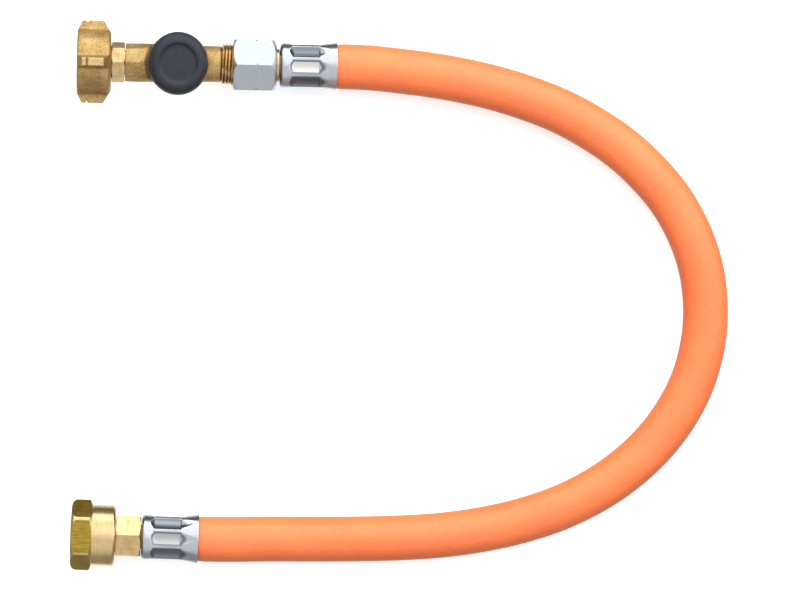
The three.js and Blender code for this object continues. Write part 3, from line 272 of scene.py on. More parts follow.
GROUPS = {
    "gas_hose_cylinder_nut": CylinderNutSizes,
    "gas_hose_valve": ValveSizes,
    "gas_hose_button": ButtonSizes,
    "gas_hose_steel_nut": SteelNutSizes,
    "gas_hose_ferrules": FerruleSizes,
    "gas_hose_swivel_nut": SwivelNutSizes,
    "gas_hose_hose": HoseSizes,
    "gas_hose_colours": FinishColours,
    "gas_hose_stage": StageSettings,
}


def sizes(group):
    """A group's lengths as plain millimetres, and its other values as they are."""
    values = getattr(bpy.context.scene, "gas_hose_" + group)
    lengths = {}
    for key, prop in values.bl_rna.properties.items():
        if key not in {"rna_type", "name"}:
            value = getattr(values, key)
            lengths[key] = value / MM if getattr(prop, "unit", "NONE") == "LENGTH" else value
    return SimpleNamespace(**lengths)


# Surface arithmetic

def smooth_min(first, second, blend):
    """The smaller of two heights, with a rounded edge about as wide as blend where they cross."""
    share = np.clip(0.5 + 0.5 * (second - first) / blend, 0, 1)
    return second * (1 - share) + first * share - blend * share * (1 - share)


def smooth_max(first, second, blend):
    """The larger of two heights, with a rounded valley where they cross."""
    return -smooth_min(-first, -second, blend)


def smooth_step(value, low, high):
    """Runs from 0 at low to 1 at high, level at both."""
    share = np.clip((value - low) / (high - low), 0, 1)
    return share * share * (3 - 2 * share)


def folded(angle, count, turn=0.0):
    """Angle from the nearest of count even directions, the first of which lies turn degrees past the top."""
    step = TURN / count
    return (angle - math.radians(turn) + step / 2) % step - step / 2


def prism_radius(angle, sides, flats, roll=0.0):
    """Radius of a regular prism, corner up before its roll: half the flats over the cosine from a flat."""
    step = TURN / sides
    return flats / 2 / np.cos((angle + math.radians(roll)) % step - step / 2)


def thread_wave(x, angle, pitch):
    """Triangle wave of a right-hand thread: 1 on the crest, 0 in the root."""
    share = (x / pitch - angle / TURN) % 1.0
    return np.clip(1.35 * (1 - np.abs(2 * share - 1)) - 0.1, 0, 1)


def curve(share, first, middle, last):
    """Quadratic curve from the first point to the last one, drawn towards the middle one."""
    return (1 - share) ** 2 * first + 2 * share * (1 - share) * middle + share ** 2 * last


def profile(corners, fillet=0.25, spacing=0.8, closed=True, plain=0.0):
    """Columns of places and radii along the corners, each rounded by a quadratic curve that starts a fillet
    away from it, with the straight runs between cut to the spacing. A corner may carry its own fillet. Runs
    nearer the axis than plain are round and straight, and stay nearly whole."""
    points = np.array([corner[:2] for corner in corners], float)
    reach = np.array([corner[2] if len(corner) > 2 else fillet for corner in corners], float)
    to_last, to_next = np.roll(points, 1, 0) - points, np.roll(points, -1, 0) - points
    last_run, next_run = np.linalg.norm(to_last, axis=1), np.linalg.norm(to_next, axis=1)
    reach = np.minimum(reach, 0.45 * np.minimum(last_run, next_run))
    if not closed:
        reach[[0, -1]] = 0
    start = points + to_last / last_run[:, None] * reach[:, None]
    end = points + to_next / next_run[:, None] * reach[:, None]
    share = np.linspace(0, 1, 5)[None, :, None]
    line = curve(share, start[:, None], points[:, None], end[:, None]).reshape(-1, 2)
    line = line[np.linalg.norm(line - np.roll(line, 1, 0), axis=1) > 1e-6]
    ahead = np.roll(line, -1, 0) if closed else line[1:]
    behind = line if closed else line[:-1]
    step = np.where(np.maximum(ahead[:, 1], behind[:, 1]) < plain, 12 * spacing, spacing)
    counts = np.ceil(np.linalg.norm(ahead - behind, axis=1) / step).astype(int)
    runs = [a + (b - a) * (np.arange(n) / n)[:, None] for a, b, n in zip(behind, ahead, counts)]
    line = np.concatenate(runs if closed else runs + [line[-1:]])
    return line[:, :1], line[:, 1:]


def angles(count, dense_about=(), dense_width=0.0, dense_count=0):
    """Even directions round the axis, with more of them in a band about each of the given angles."""
    even = np.arange(count) * TURN / count
    bands = [np.linspace(-dense_width, dense_width, dense_count) + middle for middle in dense_about]
    every = np.concatenate([even, *bands]) % TURN
    return np.unique(np.round(every, 5))


def about_axis(x, radius, angle):
    """Grid of points at radius from the x axis: y is radius times sine, z is radius times cosine."""
    x, radius, angle = np.broadcast_arrays(x, radius, angle)
    return np.stack([x, radius * np.sin(angle), radius * np.cos(angle)], axis=-1)


def cut_to(form, radius, beyond, blend):
    """The profile's radius, cut to the form's with a rounded edge where the profile lies beyond a radius."""
    return np.where(radius > beyond, smooth_min(radius, form, blend), radius)


def tapped(skin, x, radius, angle, nut, depth, start, end):
    """The skin with an inside thread cut into the bore between two places, and run out at the far one."""
    bore = (np.abs(radius - nut.thread_radius) < 0.2) & (x > start) & (x < end + 0.1)
    cut = depth * (1 - thread_wave(x, angle, nut.thread_pitch)) * smooth_step(end - x, 0, 0.6)
    return np.where(bore, skin + cut, skin)


def stood_up(points):
    """Turns points made about x so that their x points up, over the boss."""
    return np.stack([BOSS_PLACE - points[..., 2], points[..., 1], points[..., 0]], axis=-1)


def placed(points, end):
    """Bench millimetres to metres in the part's frame: roll, pitch and yaw about x, y and z, then a shift."""
    place, turns = end
    turn = Euler(np.radians(turns)).to_matrix()
    return (points @ np.array(turn).T + np.array(place)) * MM


def grid_faces(rows, columns, loop, first):
    """Corners of every cell of a grid whose columns join up, and whose rows do if they loop."""
    row = np.arange(rows if loop else rows - 1)[:, None]
    column = np.arange(columns)[None, :]
    ahead, beside = (row + 1) % rows, (column + 1) % columns
    corners = [row * columns + column, ahead * columns + column,
               ahead * columns + beside, row * columns + beside]
    return np.stack(corners, axis=-1).reshape(-1, 4) + first


def make_piece(name, stands_for, finish, skins, end=None, body="root", loop=True, sharp=40.0):
    """Puts grids of points into one smooth mesh object at the origin. With an end they are on its bench, and
    without one they are metres in the part's frame."""
    vertices, faces, first = [], [], 0
    for points in skins:
        rows, columns = points.shape[:2]
        vertices.append((placed(points, end) if end else points).reshape(-1, 3))
        faces.append(grid_faces(rows, columns, loop, first))
        first += rows * columns
    mesh = bpy.data.meshes.new(name)
    mesh.from_pydata(np.concatenate(vertices), [], np.concatenate(faces).tolist())
    work = bmesh.new()
    work.from_mesh(mesh)
    bmesh.ops.remove_doubles(work, verts=work.verts, dist=1e-7)
    bmesh.ops.dissolve_degenerate(work, edges=work.edges, dist=1e-8)
    work.to_mesh(mesh)
    work.free()
    mesh.shade_smooth()
    mesh.set_sharp_from_angle(angle=math.radians(sharp))
    piece = bpy.data.objects.new(name, mesh)
    bpy.context.scene.collection.objects.link(piece)
    mesh.materials.append(finish)
    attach(piece, body)
    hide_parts(stands_for)
    return piece


# Shader arithmetic

class Signal:
    """A number or vector that leaves a node. Sums on it add Math nodes to its tree."""

    def __init__(self, wiring, node, socket=0):
        self.wiring = wiring
        self.node = node
        self.socket = node.outputs[socket]

    def other(self, socket):
        """Another output of the same node."""
        return Signal(self.wiring, self.node, socket)

    def __add__(self, value):
        return self.wiring.maths("ADD", self, value)

    def __sub__(self, value):
        return self.wiring.maths("SUBTRACT", self, value)

    def __rsub__(self, value):
        return self.wiring.maths("SUBTRACT", value, self)

    def __mul__(self, value):
        return self.wiring.maths("MULTIPLY", self, value)

    def __pow__(self, value):
        return self.wiring.maths("POWER", self, value)

    __radd__ = __add__
    __rmul__ = __mul__


class Wiring:
    """A tree of shader nodes that Python expressions add to."""

    def __init__(self, tree):
        self.tree = tree

    def node(self, kind, settings=None, inputs=None):
        """Any node: its type, its settings, then the values or links of its sockets."""
        made = self.tree.nodes.new(kind)
        for key, value in (settings or {}).items():
            setattr(made, key, value)
        for key, value in (inputs or {}).items():
            self.feed(made.inputs[key], value)
        return Signal(self, made)

    def feed(self, socket, value):
        """Links a signal to a socket, or writes a value or a colour on it."""
        if isinstance(value, Signal):
            self.tree.links.new(value.socket, socket)
        elif hasattr(socket.default_value, "__len__") and len(socket.default_value) == 4:
            socket.default_value = (*value[:3], 1.0)
        else:
            socket.default_value = value

    def maths(self, operation, first, second=0.0):
        """A Math node of the given operation."""
        return self.node("ShaderNodeMath", {"operation": operation}, {0: first, 1: second})

    def parts(self, vector):
        """The three numbers of a vector."""
        split = self.node("ShaderNodeSeparateXYZ", None, {"Vector": vector})
        return split.other("X"), split.other("Y"), split.other("Z")

    def ramp(self, value, low, high):
        """0 below low and 1 above high, smooth between."""
        return self.node("ShaderNodeMapRange", {"interpolation_type": "SMOOTHSTEP"}, {
            "Value": value, "From Min": low, "From Max": high,
        })

    def mix(self, share, first, second):
        """From the first colour to the second as share goes from 0 to 1. A word is a colour of the panel."""
        panel = bpy.context.scene.gas_hose_colours
        first, second = (getattr(panel, c) if isinstance(c, str) else c for c in (first, second))
        made = self.node("ShaderNodeMix", {"data_type": "RGBA"}, {"Factor": share, 6: first, 7: second})
        return made.other(2)


class Finish(Wiring):
    """A material being built on one Principled shader. Its place is that on an end's bench, in millimetres,
    or without an end that in the part's frame, in metres."""

    def __init__(self, name, end=None, constants=None):
        self.material = bpy.data.materials.new(name)
        self.material.use_nodes = True
        super().__init__(self.material.node_tree)
        self.shader = self.tree.nodes["Principled BSDF"]
        for socket, value in (constants or {}).items():
            self.shader.inputs[socket].default_value = value
        self.place = self.node("ShaderNodeTexCoord").other("Object")
        if end:
            self.place = self.node("ShaderNodeMapping", {"vector_type": "TEXTURE"}, {
                "Vector": self.place, "Location": [value * MM for value in end[0]],
                "Rotation": np.radians(end[1]), "Scale": (MM, MM, MM),
            })

    def noise(self, scale, detail=3.0, roughness=0.55, stretch=None):
        """Even cloud noise of 0 to 1 over the place, each part of which may be stretched."""
        place = self.place
        if stretch:
            place = self.node("ShaderNodeVectorMath", {"operation": "MULTIPLY"}, {0: place, 1: stretch})
        return self.node("ShaderNodeTexNoise", None, {
            "Vector": place, "Scale": scale, "Detail": detail, "Roughness": roughness,
        })

    def from_axis(self):
        """Distance from the end's axis."""
        _, y, z = self.parts(self.place)
        return (y * y + z * z) ** 0.5

    def surface(self, base, roughness, height=None, distance=0.0):
        """Feeds what varies into the shader. The height raises the surface by so many millimetres."""
        self.feed(self.shader.inputs["Base Color"], base)
        self.feed(self.shader.inputs["Roughness"], roughness)
        if height:
            bump = self.node("ShaderNodeBump", None, {
                "Height": height, "Distance": distance * MM, "Strength": 1.0,
            })
            self.feed(self.shader.inputs["Normal"], bump)
        return self.material


def cast_brass(end, machined_from=None, rubbed_beyond=None):
    """Blasted casting: sharp sand grain in colour and height, with a few dark pits and slow tone changes.
    Past the place machined_from the skin is cut to a thread: smooth and bright, with brown tarnish in the
    roots. Round the foot of its boss, strongest on the side towards the front face, painted shade darkens it
    brown. Beyond rubbed_beyond the grain is worn light."""
    finish = Finish("blasted_brass", end, {"Metallic": 0.95})
    grain = finish.noise(3.4, 3.0, 0.75)
    coarse = finish.noise(1.1, 2.0)
    tone = finish.noise(0.16, 2.0)
    share = finish.ramp(grain * 0.65 + coarse * 0.2 + tone * 0.25, 0.44, 0.68)
    pits = finish.ramp(finish.noise(2.3, 4.0, 0.8), 0.66, 0.74)
    base = finish.mix(share, "cast_shade", "cast_brass")
    base = finish.mix(pits * 0.5, base, PIT_BROWN)
    rough, height = 0.3 + grain * 0.3, grain * 0.7 + coarse * 0.3
    if rubbed_beyond:
        worn = finish.ramp(finish.from_axis() + grain * 0.3, rubbed_beyond, rubbed_beyond + 0.35)
        base = finish.mix(worn * 0.75, base, "turned_brass")
        rough, height = rough * (1 - worn * 0.35), height * (1 - worn * 0.6)
    if machined_from:
        x, y, z = finish.parts(finish.place)
        cut = finish.ramp(x, machined_from, machined_from + 0.1)
        base = finish.mix(cut, base, "turned_brass")
        root = finish.ramp(finish.from_axis(), 7.75, 7.15) * cut
        base = finish.mix(root * 0.85, base, ROOT_BROWN)
        rough, height = rough * (1 - cut) + cut * 0.24, height * (1 - cut * 0.85)
        # Painted shade: a brown ring round the foot of the boss, strongest towards the front face, where the
        # fillet lies in shade
        ahead = x - BOSS_PLACE
        ring = finish.ramp((ahead * ahead + y * y) ** 0.5, 12.9, 11.9)
        foot = ring * finish.ramp(z, 2.0, 4.5) * finish.ramp(ahead + tone * 3.0, 3.0, -4.0)
        base = finish.mix(foot * 0.8, base, FOOT_PAINTED_SHADE)
    return finish.surface(base, rough, height, 0.16)


def turned_brass(end):
    """Machined brass: fine rings round the axis from the tool, faint tarnish between them."""
    finish = Finish("turned_brass", end, {"Metallic": 1.0})
    rings = finish.noise(7.0, 2.0, 0.7, RINGS)
    cloud = finish.noise(0.35, 3.0)
    speck = finish.noise(5.0, 2.0, 0.7)
    base = finish.mix(finish.ramp(rings * 0.5 + cloud * 0.5, 0.34, 0.6), "turned_shade", "turned_brass")
    return finish.surface(base, 0.2 + rings * 0.12 + speck * 0.08, rings, 0.02)


def milled_brass(end, flats, hex_end):
    """Hexagon bar: the flats keep the bar's dull olive skin with strokes along the axis, and everything that
    was turned is bright with fine tool rings. A point is on a flat where its distance along the nearest
    flat's square direction is half the flats."""
    finish = Finish("milled_brass", end, {"Metallic": 1.0})
    x, y, z = finish.parts(finish.place)
    reach = 0.0
    for turn in (0, math.pi / 3, TURN / 3):
        away = finish.maths("ABSOLUTE", z * math.cos(turn) + y * math.sin(turn))
        reach = finish.maths("MAXIMUM", reach, away)
    hexagon = finish.ramp(x, hex_end + 0.02, hex_end - 0.02)
    flat = finish.ramp(reach, flats / 2 - 0.14, flats / 2 - 0.03) * hexagon
    strokes = finish.noise(3.4, 4.0, 0.8, STROKES)
    rings = finish.noise(7.0, 2.0, 0.7, RINGS)
    cloud = finish.noise(0.3, 3.0)
    speck = finish.noise(3.0, 3.0, 0.7)
    skin = finish.mix(finish.ramp(strokes * 0.7 + cloud * 0.3, 0.36, 0.6), "olive_shade", "olive")
    share = finish.ramp(rings * 0.4 + cloud * 0.3 + speck * 0.3, 0.34, 0.56)
    base = finish.mix(flat, finish.mix(share, "turned_shade", "turned_brass"), skin)
    height = strokes * flat + rings * (1 - flat) * 0.6 + speck * 0.2
    return finish.surface(base, 0.22 + flat * 0.12 + speck * 0.1, height, 0.015)


def zinc_plate(end):
    """Zinc over milled steel: strokes across the flats under a slightly mottled, bluish plating."""
    finish = Finish("zinc_plate", end, {"Metallic": 0.95})
    strokes = finish.noise(3.6, 4.0, 0.8, (1.0, 0.12, 0.12))
    mottle = finish.noise(1.6, 3.0, 0.7)
    base = finish.mix(finish.ramp(strokes * 0.5 + mottle * 0.5, 0.36, 0.62), "zinc_shade", "zinc")
    return finish.surface(base, 0.24 + mottle * 0.22, strokes * 0.6 + mottle * 0.4, 0.02)


def ferrule_steel(end, highlight_over_grain):
    """Pressed sheet: drawn smooth outside, matt and grainy on the floors that the dies pressed. Painted shade
    darkens the pockets' slopes and the floors that do not lie uppermost; the floor that lies uppermost gets a
    painted highlight as strong as the share passed in, and the rest of that share marks the floors with
    grain."""
    finish = Finish("pressed_steel", end, {"Metallic": 1.0})
    drawn = finish.noise(2.6, 3.0, 0.7, (0.25, 1.0, 1.0))
    grain = finish.noise(5.2, 3.0, 0.75)
    radius = finish.from_axis()
    slope = finish.ramp(radius, 8.5, 8.12)
    floor = finish.ramp(radius, 7.95, 7.72)
    upmost_lit = finish.ramp(finish.parts(finish.place)[2], 6.2, 7.0)
    base = finish.mix(finish.ramp(drawn * 0.8 + grain * 0.2, 0.3, 0.7), "ferrule_shade", "ferrule")
    # Painted shade: the pockets, sunk below the waist, are darkened towards the film colour
    base = finish.mix(slope * 0.8, base, "ferrule_painted_shade")
    # More painted shade on the floors that do not lie uppermost, and a painted highlight on the one that does
    base = finish.mix(floor * (1 - upmost_lit) * 0.45, base, "ferrule_painted_shade")
    base = finish.mix(floor * upmost_lit * highlight_over_grain, base, PAINTED_HIGHLIGHT_STEEL)
    base = finish.mix(floor * (1 - highlight_over_grain) * grain, base, "ferrule_shade")
    return finish.surface(base, 0.2 + drawn * 0.04 + floor * 0.12, drawn * 0.08 + grain * floor, 0.01)


def spring_wire(end):
    """Drawn steel wire: bright, with faint lengthwise die lines."""
    finish = Finish("spring_wire", end, {"Metallic": 1.0})
    lines = finish.noise(3.0, 3.0, 0.6)
    return finish.surface(finish.mix(lines, "ferrule_shade", "wire"), 0.2 + lines * 0.2, lines, 0.01)


def orange_rubber():
    """Hose skin cured in cloth: two faint families of slanting lines that come and go in patches, fine
    specks, and slow tone changes. It reads the piece's own ways along and around, in millimetres."""
    hose = sizes("hose")
    finish = Finish("wrapped_rubber", None, {"Specular IOR Level": 0.9})
    along, around = (finish.node("ShaderNodeAttribute", {"attribute_name": way}).other("Fac")
                     for way in ("along", "around"))
    drift = finish.noise(110.0, 2.0)
    patch = finish.ramp(finish.noise(75.0, 2.0), 0.42, 0.58)
    girth = TURN * hose.radius
    lean = along * (math.sin(hose.wrap_angle) / hose.wrap_pitch)
    rise = around * (round(girth * math.cos(hose.wrap_angle) / hose.wrap_pitch) / girth)
    warp = finish.maths("SINE", (lean + rise) * TURN + drift * 7.0)
    weft = finish.maths("SINE", (lean - rise) * TURN + drift * 6.0)
    lines = warp * patch + weft * (1 - patch)
    speck = finish.noise(2400.0, 2.0, 0.7)
    grain = finish.noise(700.0, 3.0, 0.6)
    cloud = finish.noise(40.0, 3.0)
    share = finish.ramp(lines * 0.05 + speck * 0.35 + grain * 0.3 + cloud * 0.35, 0.3, 0.66)
    return finish.surface(finish.mix(share, "orange_shade", "orange"), 0.42 + speck * 0.1 + cloud * 0.1,
                          lines * 0.2 + speck * 0.4 + grain * 0.4, 0.05)


def cap_rubber(end):
    """Moulded cap rubber: fine spark texture with a light bloom."""
    finish = Finish("cap_rubber", end, {"Specular IOR Level": 0.45})
    spark = finish.noise(6.0, 3.0, 0.7)
    bloom = finish.noise(0.4, 3.0)
    base = finish.mix(finish.ramp(spark * 0.75 + bloom * 0.25, 0.4, 0.68), "slate", "slate_dust")
    return finish.surface(base, 0.4 + spark * 0.2, spark, 0.03)


def plain_moulding(name, colour_name, gloss):
    """Moulded rubber or nylon: even colour broken by fine grain."""
    finish = Finish(name)
    grain = finish.noise(3200.0, 3.0)
    shade = getattr(bpy.context.scene.gas_hose_colours, colour_name)
    lighter = [min(1.0, value * 1.7 + 0.01) for value in shade]
    return finish.surface(finish.mix(grain * 0.6, shade, lighter), gloss + grain * 0.2, grain, 0.02)


# Pieces of both ends

def hose_tail(corners, start):
    """Corners of a hose tail: its head's, then those of its barbed stem."""
    return corners + [(start + ahead, radius, fillet) for ahead, radius, fillet in STEM]


def make_seal(name, stands_for, end, place, bore, outside):
    """Makes a flat rubber washer."""
    thick = 1.5
    corners = [(place, bore), (place, outside), (place + thick, outside), (place + thick, bore)]
    washer = about_axis(*profile(corners, fillet=0.3, spacing=0.5), angles(96))
    make_piece(name, stands_for, plain_moulding(name, "seal", 0.5), [washer], end)


def ferrule_skin(sheet, start, flare, roll):
    """A crimped ferrule: outside, the turned sheet or the pocket's flat floor and slopes, whichever is lower;
    inside, the same forms one sheet thickness further in."""
    middles = [TURN / sheet.pockets * i - math.radians(roll) for i in range(sheet.pockets)]
    angle = angles(240, middles, math.radians(17), 18)
    end = start + sheet.length
    waist_start = start + sheet.floor_start
    waist_end = waist_start + sheet.floor_length
    throat = end - 2.2
    shoulder, waist, wall, hole = sheet.shoulder_radius, sheet.waist_radius, sheet.wall, 4.9
    widening = (waist + 1.6 * flare) / 2.6
    x, radius = profile([
        (start, hole, 0.2), (start, shoulder - 0.9, 0.9), (start + 0.95, shoulder, 0.9),
        (waist_start, waist + 0.1, 2.0), (waist_end, waist + 0.05, 2.0), (throat, widening, 1.2),
        (end, flare, 0.3), (end, flare - wall, 0.3), (throat, widening - wall, 1.2),
        (waist_end, waist - wall, 1.0), (waist_start, waist - wall, 1.0),
        (start + wall, shoulder - wall, 0.5), (start + wall, hole, 0.2),
    ], spacing=0.22)
    turning = np.argmax(x + 0.001 * (radius < flare - wall / 2))
    inner = (np.arange(len(x))[:, None] > turning) & (x > start + wall - 0.05)
    grow = np.where(inner, 0.4, 0.0)
    away = folded(angle, sheet.pockets, -roll)
    across = np.abs(radius * np.sin(away))
    half = sheet.floor_width / 2
    side_run, front_run, back_run, bend = 2.0, 1.5, 1.1, 0.45
    beside = (across - half - grow + 0.05) / side_run
    before = (waist_start - x - grow + 0.25) / front_run
    behind = (x - waist_end - grow + 0.35) / back_run
    behind = np.where(behind > bend, bend + (behind - bend) * 0.3, behind)
    rise = np.maximum(beside, np.maximum(before, behind))
    floor = sheet.floor_radius - wall * inner - 0.1 + 0.2 * np.minimum(across / half, 1.0) ** 2
    pocket = (floor + smooth_max(rise, 0 * rise, 0.08)) / np.cos(away)
    return about_axis(x, cut_to(pocket, radius, 6.2, 0.16), angle)


class GASHOSE_OT_ferrules(Operator):
    """Makes the two crimped ferrules"""
    bl_idname = "gas_hose.ferrules"
    bl_label = "Ferrules"

    def execute(self, context):
        sheet = sizes("ferrules")
        # The last value is the strength of the painted highlight on a ferrule's top floor; the rest paints
        # grain
        for name, stands_for, end, start, flare, roll, highlight_over_grain in (
            ("upper_crimp", "inlet_ferrule", UPPER_END, UPPER_FERRULE_START, sheet.upper_flare, 3, 0.95),
            ("lower_crimp", "outlet_ferrule", LOWER_END, LOWER_FERRULE_START, sheet.lower_flare, 0, 0.5),
        ):
            skin = ferrule_skin(sheet, start, flare, roll)
            make_piece(name, stands_for, ferrule_steel(end, highlight_over_grain), [skin], end, sharp=50)
        return {"FINISHED"}


# Pieces of the upper end

def lug_section(nut):
    """Half section of a lug as (angle, radius): the flat tip, a drafted flank and a fillet to the shell."""
    tip, top = nut.lug_width / 2, nut.lug_radius
    share = np.linspace(0, 1, 24)
    across = np.concatenate([[0, tip * 0.5, tip - 0.3, tip - 0.1, tip],
                             curve(share, tip + 0.2, tip + 0.5, tip + 2.05)])
    high = np.concatenate([[top, top, top, top - 0.06, top - 0.3],
                           curve(share, top - 1.4, nut.radius, nut.radius - 0.4)])
    return np.arctan2(across, high), np.hypot(across, high)


class GASHOSE_OT_cylinder_nut(Operator):
    """Makes the cast union nut: a threaded shell with four drafted and notched lugs"""
    bl_idname = "gas_hose.cylinder_nut"
    bl_label = "Cylinder nut"

    def execute(self, context):
        nut = sizes("cylinder_nut")
        thread, shell, end, top = nut.thread_radius, nut.radius, nut.length, nut.lug_radius
        shoulder, hole = 9.8, 6.5
        flanks = [TURN / 4 * i + side * math.radians(9) for i in range(4) for side in (-1, 1)]
        angle = angles(168, flanks, math.radians(6.5), 26)
        x, radius = profile([
            (0, thread + 0.95, 0.15), (0, shell - 0.3, 0.5), (0.6, shell + 0.35, 0.6),
            (end - 0.9, shell + 0.05, 0.8), (end, shell - 1.3, 0.6), (end, hole, 0.2),
            (shoulder, hole, 0.2), (shoulder, thread, 0.2), (0.95, thread, 0.2),
        ], spacing=0.16, plain=7.0)
        away = np.abs(folded(angle, 4))
        side = np.interp(x, *zip((-0.1, 11.2), (0.3, 12.3), (2.0, top), (3.25, top), (3.8, top - 1.0),
                                 (4.35, top), (9.9, top), (12.7, 10.8)))
        section = np.interp(away, *lug_section(nut), right=0)
        lug = smooth_min(section, side / np.cos(np.minimum(away, 0.6)), 0.35)
        outside = radius > max(thread + 0.9, shell - 1.0)
        skin = np.where(outside, smooth_max(radius, lug, 0.3), radius)
        skin = tapped(skin, x, radius, angle, nut, nut.thread_depth, 0.9, shoulder - 0.3)
        make_piece("cast_cylinder_nut", "inlet_union_nut",
                   cast_brass(UPPER_END, rubbed_beyond=top - 0.15),
                   [about_axis(x, skin, angle)], UPPER_END, body="cylinder_nut", sharp=55)
        return {"FINISHED"}


class GASHOSE_OT_nipple(Operator):
    """Makes the nipple: a bored shaft and shank with an octagon collar, and the flat seal on its nose"""
    bl_idname = "gas_hose.nipple"
    bl_label = "Nipple and seal"

    def execute(self, context):
        flats = sizes("valve").collar_flats
        angle = angles(288)
        corner = flats / 2 / math.cos(math.pi / 8)
        nose, end = 6.0, 22.0
        bore, shaft, groove, shank = 2.75, 6.2, 5.45, 4.6
        x, radius = profile([
            (nose, bore), (nose, shaft), (8.0, shaft, 0.1), (8.0, groove, 0.1), (9.8, groove, 0.1),
            (9.8, shaft, 0.1), (COLLAR_START, shaft, 0.1), (COLLAR_START, corner - 0.45, 0.15),
            (COLLAR_START + 0.42, corner + 0.02, 0.15), (COLLAR_END - 0.42, corner + 0.02, 0.15),
            (COLLAR_END, corner - 0.45, 0.15), (COLLAR_END, shank, 0.1), (end, shank), (end, bore),
        ], fillet=0.3, spacing=0.35)
        skin = cut_to(prism_radius(angle, 8, flats), radius, 6.5, 0.12)
        make_piece("octagon_nipple", "inlet_nipple", turned_brass(UPPER_END),
                   [about_axis(x, skin, angle)], UPPER_END, sharp=30)
        make_seal("upper_flat_seal", "inlet_seal", UPPER_END, 4.2, 3.35, 5.95)
        return {"FINISHED"}


class GASHOSE_OT_valve_body(Operator):
    """Makes the casting: octagon, neck, bulge, barrel and outside thread, with the boss and flange on top"""
    bl_idname = "gas_hose.valve_body"
    bl_label = "Valve body"

    def execute(self, context):
        valve = sizes("valve")
        angle = angles(240)
        corner = valve.octagon_flats / 2 / math.cos(math.pi / 8)
        barrel, crest, root = valve.barrel_radius, valve.thread_radius, 6.5
        octagon_end, thread_end = 23.3, BODY_END - 0.8
        socket, chamber, seat, passage = 4.9, 4.0, 2.4, 3.0
        socket_end, seat_start, seat_end = 28.9, 34.0, 35.4
        x, radius = profile([
            (BODY_START, 6.0, 0.2), (BODY_START, corner - 0.1, 0.35), (octagon_end, corner, 0.3),
            (28.1, valve.neck_radius), (47.3, barrel), (BARREL_END, barrel, 0.1),
            (BARREL_END + 0.1, root, 0.1), (THREAD_START, root, 0.1),
            (THREAD_START + 0.2, crest, 0.2), (thread_end, crest, 0.2), (BODY_END, 7.2, 0.2),
            (BODY_END, 6.2, 0.2), (62.6, passage), (seat_end, passage), (seat_end, seat),
            (seat_start, seat), (seat_start, chamber), (socket_end, chamber), (socket_end, socket),
            (19.6, socket), (19.6, 6.0),
        ], spacing=0.3, plain=6.4)
        share = np.clip((x - BOSS_PLACE) / valve.bulge_spread, -1, 1)
        swell = np.cos(math.pi / 2 * share) ** 2 * (valve.bulge_radius - radius)
        skin = np.where((radius > 6.6) & (x > octagon_end) & (x < BARREL_END), radius + swell, radius)
        lift = 0.7 * smooth_step(x, 22.7, 26.5) + 4 * smooth_step(x, 25.5, 28.0)
        octagon = prism_radius(angle, 8, valve.octagon_flats) + lift
        skin = np.where((radius > 5.5) & (x < 28), smooth_min(skin, octagon, 0.25), skin)
        threaded = (radius > barrel) & (x > THREAD_START) & (x < thread_end)
        cut = 0.95 * (1 - thread_wave(x, angle, valve.thread_pitch))
        skin = np.where(threaded, np.maximum(skin - cut, root), skin)
        make_piece("cast_valve_body", "valve_body", cast_brass(UPPER_END, BARREL_END),
                   [about_axis(x, skin, angle), self.boss(valve)], UPPER_END, sharp=50)
        return {"FINISHED"}

    def boss(self, valve):
        """The round boss and its flange, with a foot that flares where it meets the bulge: the foot's reach
        falls off with height above the casting, whose own height is the circle of its radius there."""
        angle = angles(200)
        bore, wall, rim, bottom, top = 5.3, valve.boss_radius, valve.flange_radius, 1.5, 9.8
        height, radius = profile([
            (bottom, bore), (bottom, wall), (7.0, wall, 0.8), (8.1, rim - 0.35, 0.3), (8.45, rim, 0.25),
            (9.5, rim, 0.3), (top, rim - 0.35, 0.3), (top, bore),
        ], spacing=0.25)
        share = np.clip(wall * np.cos(angle) / valve.bulge_spread, -1, 1)
        swell = np.cos(share * math.pi / 2) ** 2
        casting = valve.neck_radius + (valve.bulge_radius - valve.neck_radius) * swell
        ground = np.sqrt(np.maximum(casting ** 2 - (wall * np.sin(angle)) ** 2, 1.0))
        foot = 1.1 * np.exp(-np.maximum(height - ground, 0) / 0.9) * smooth_step(6.8 - height, 0, 1)
        return stood_up(about_axis(height, np.where(radius > 6, radius + foot, radius), angle))


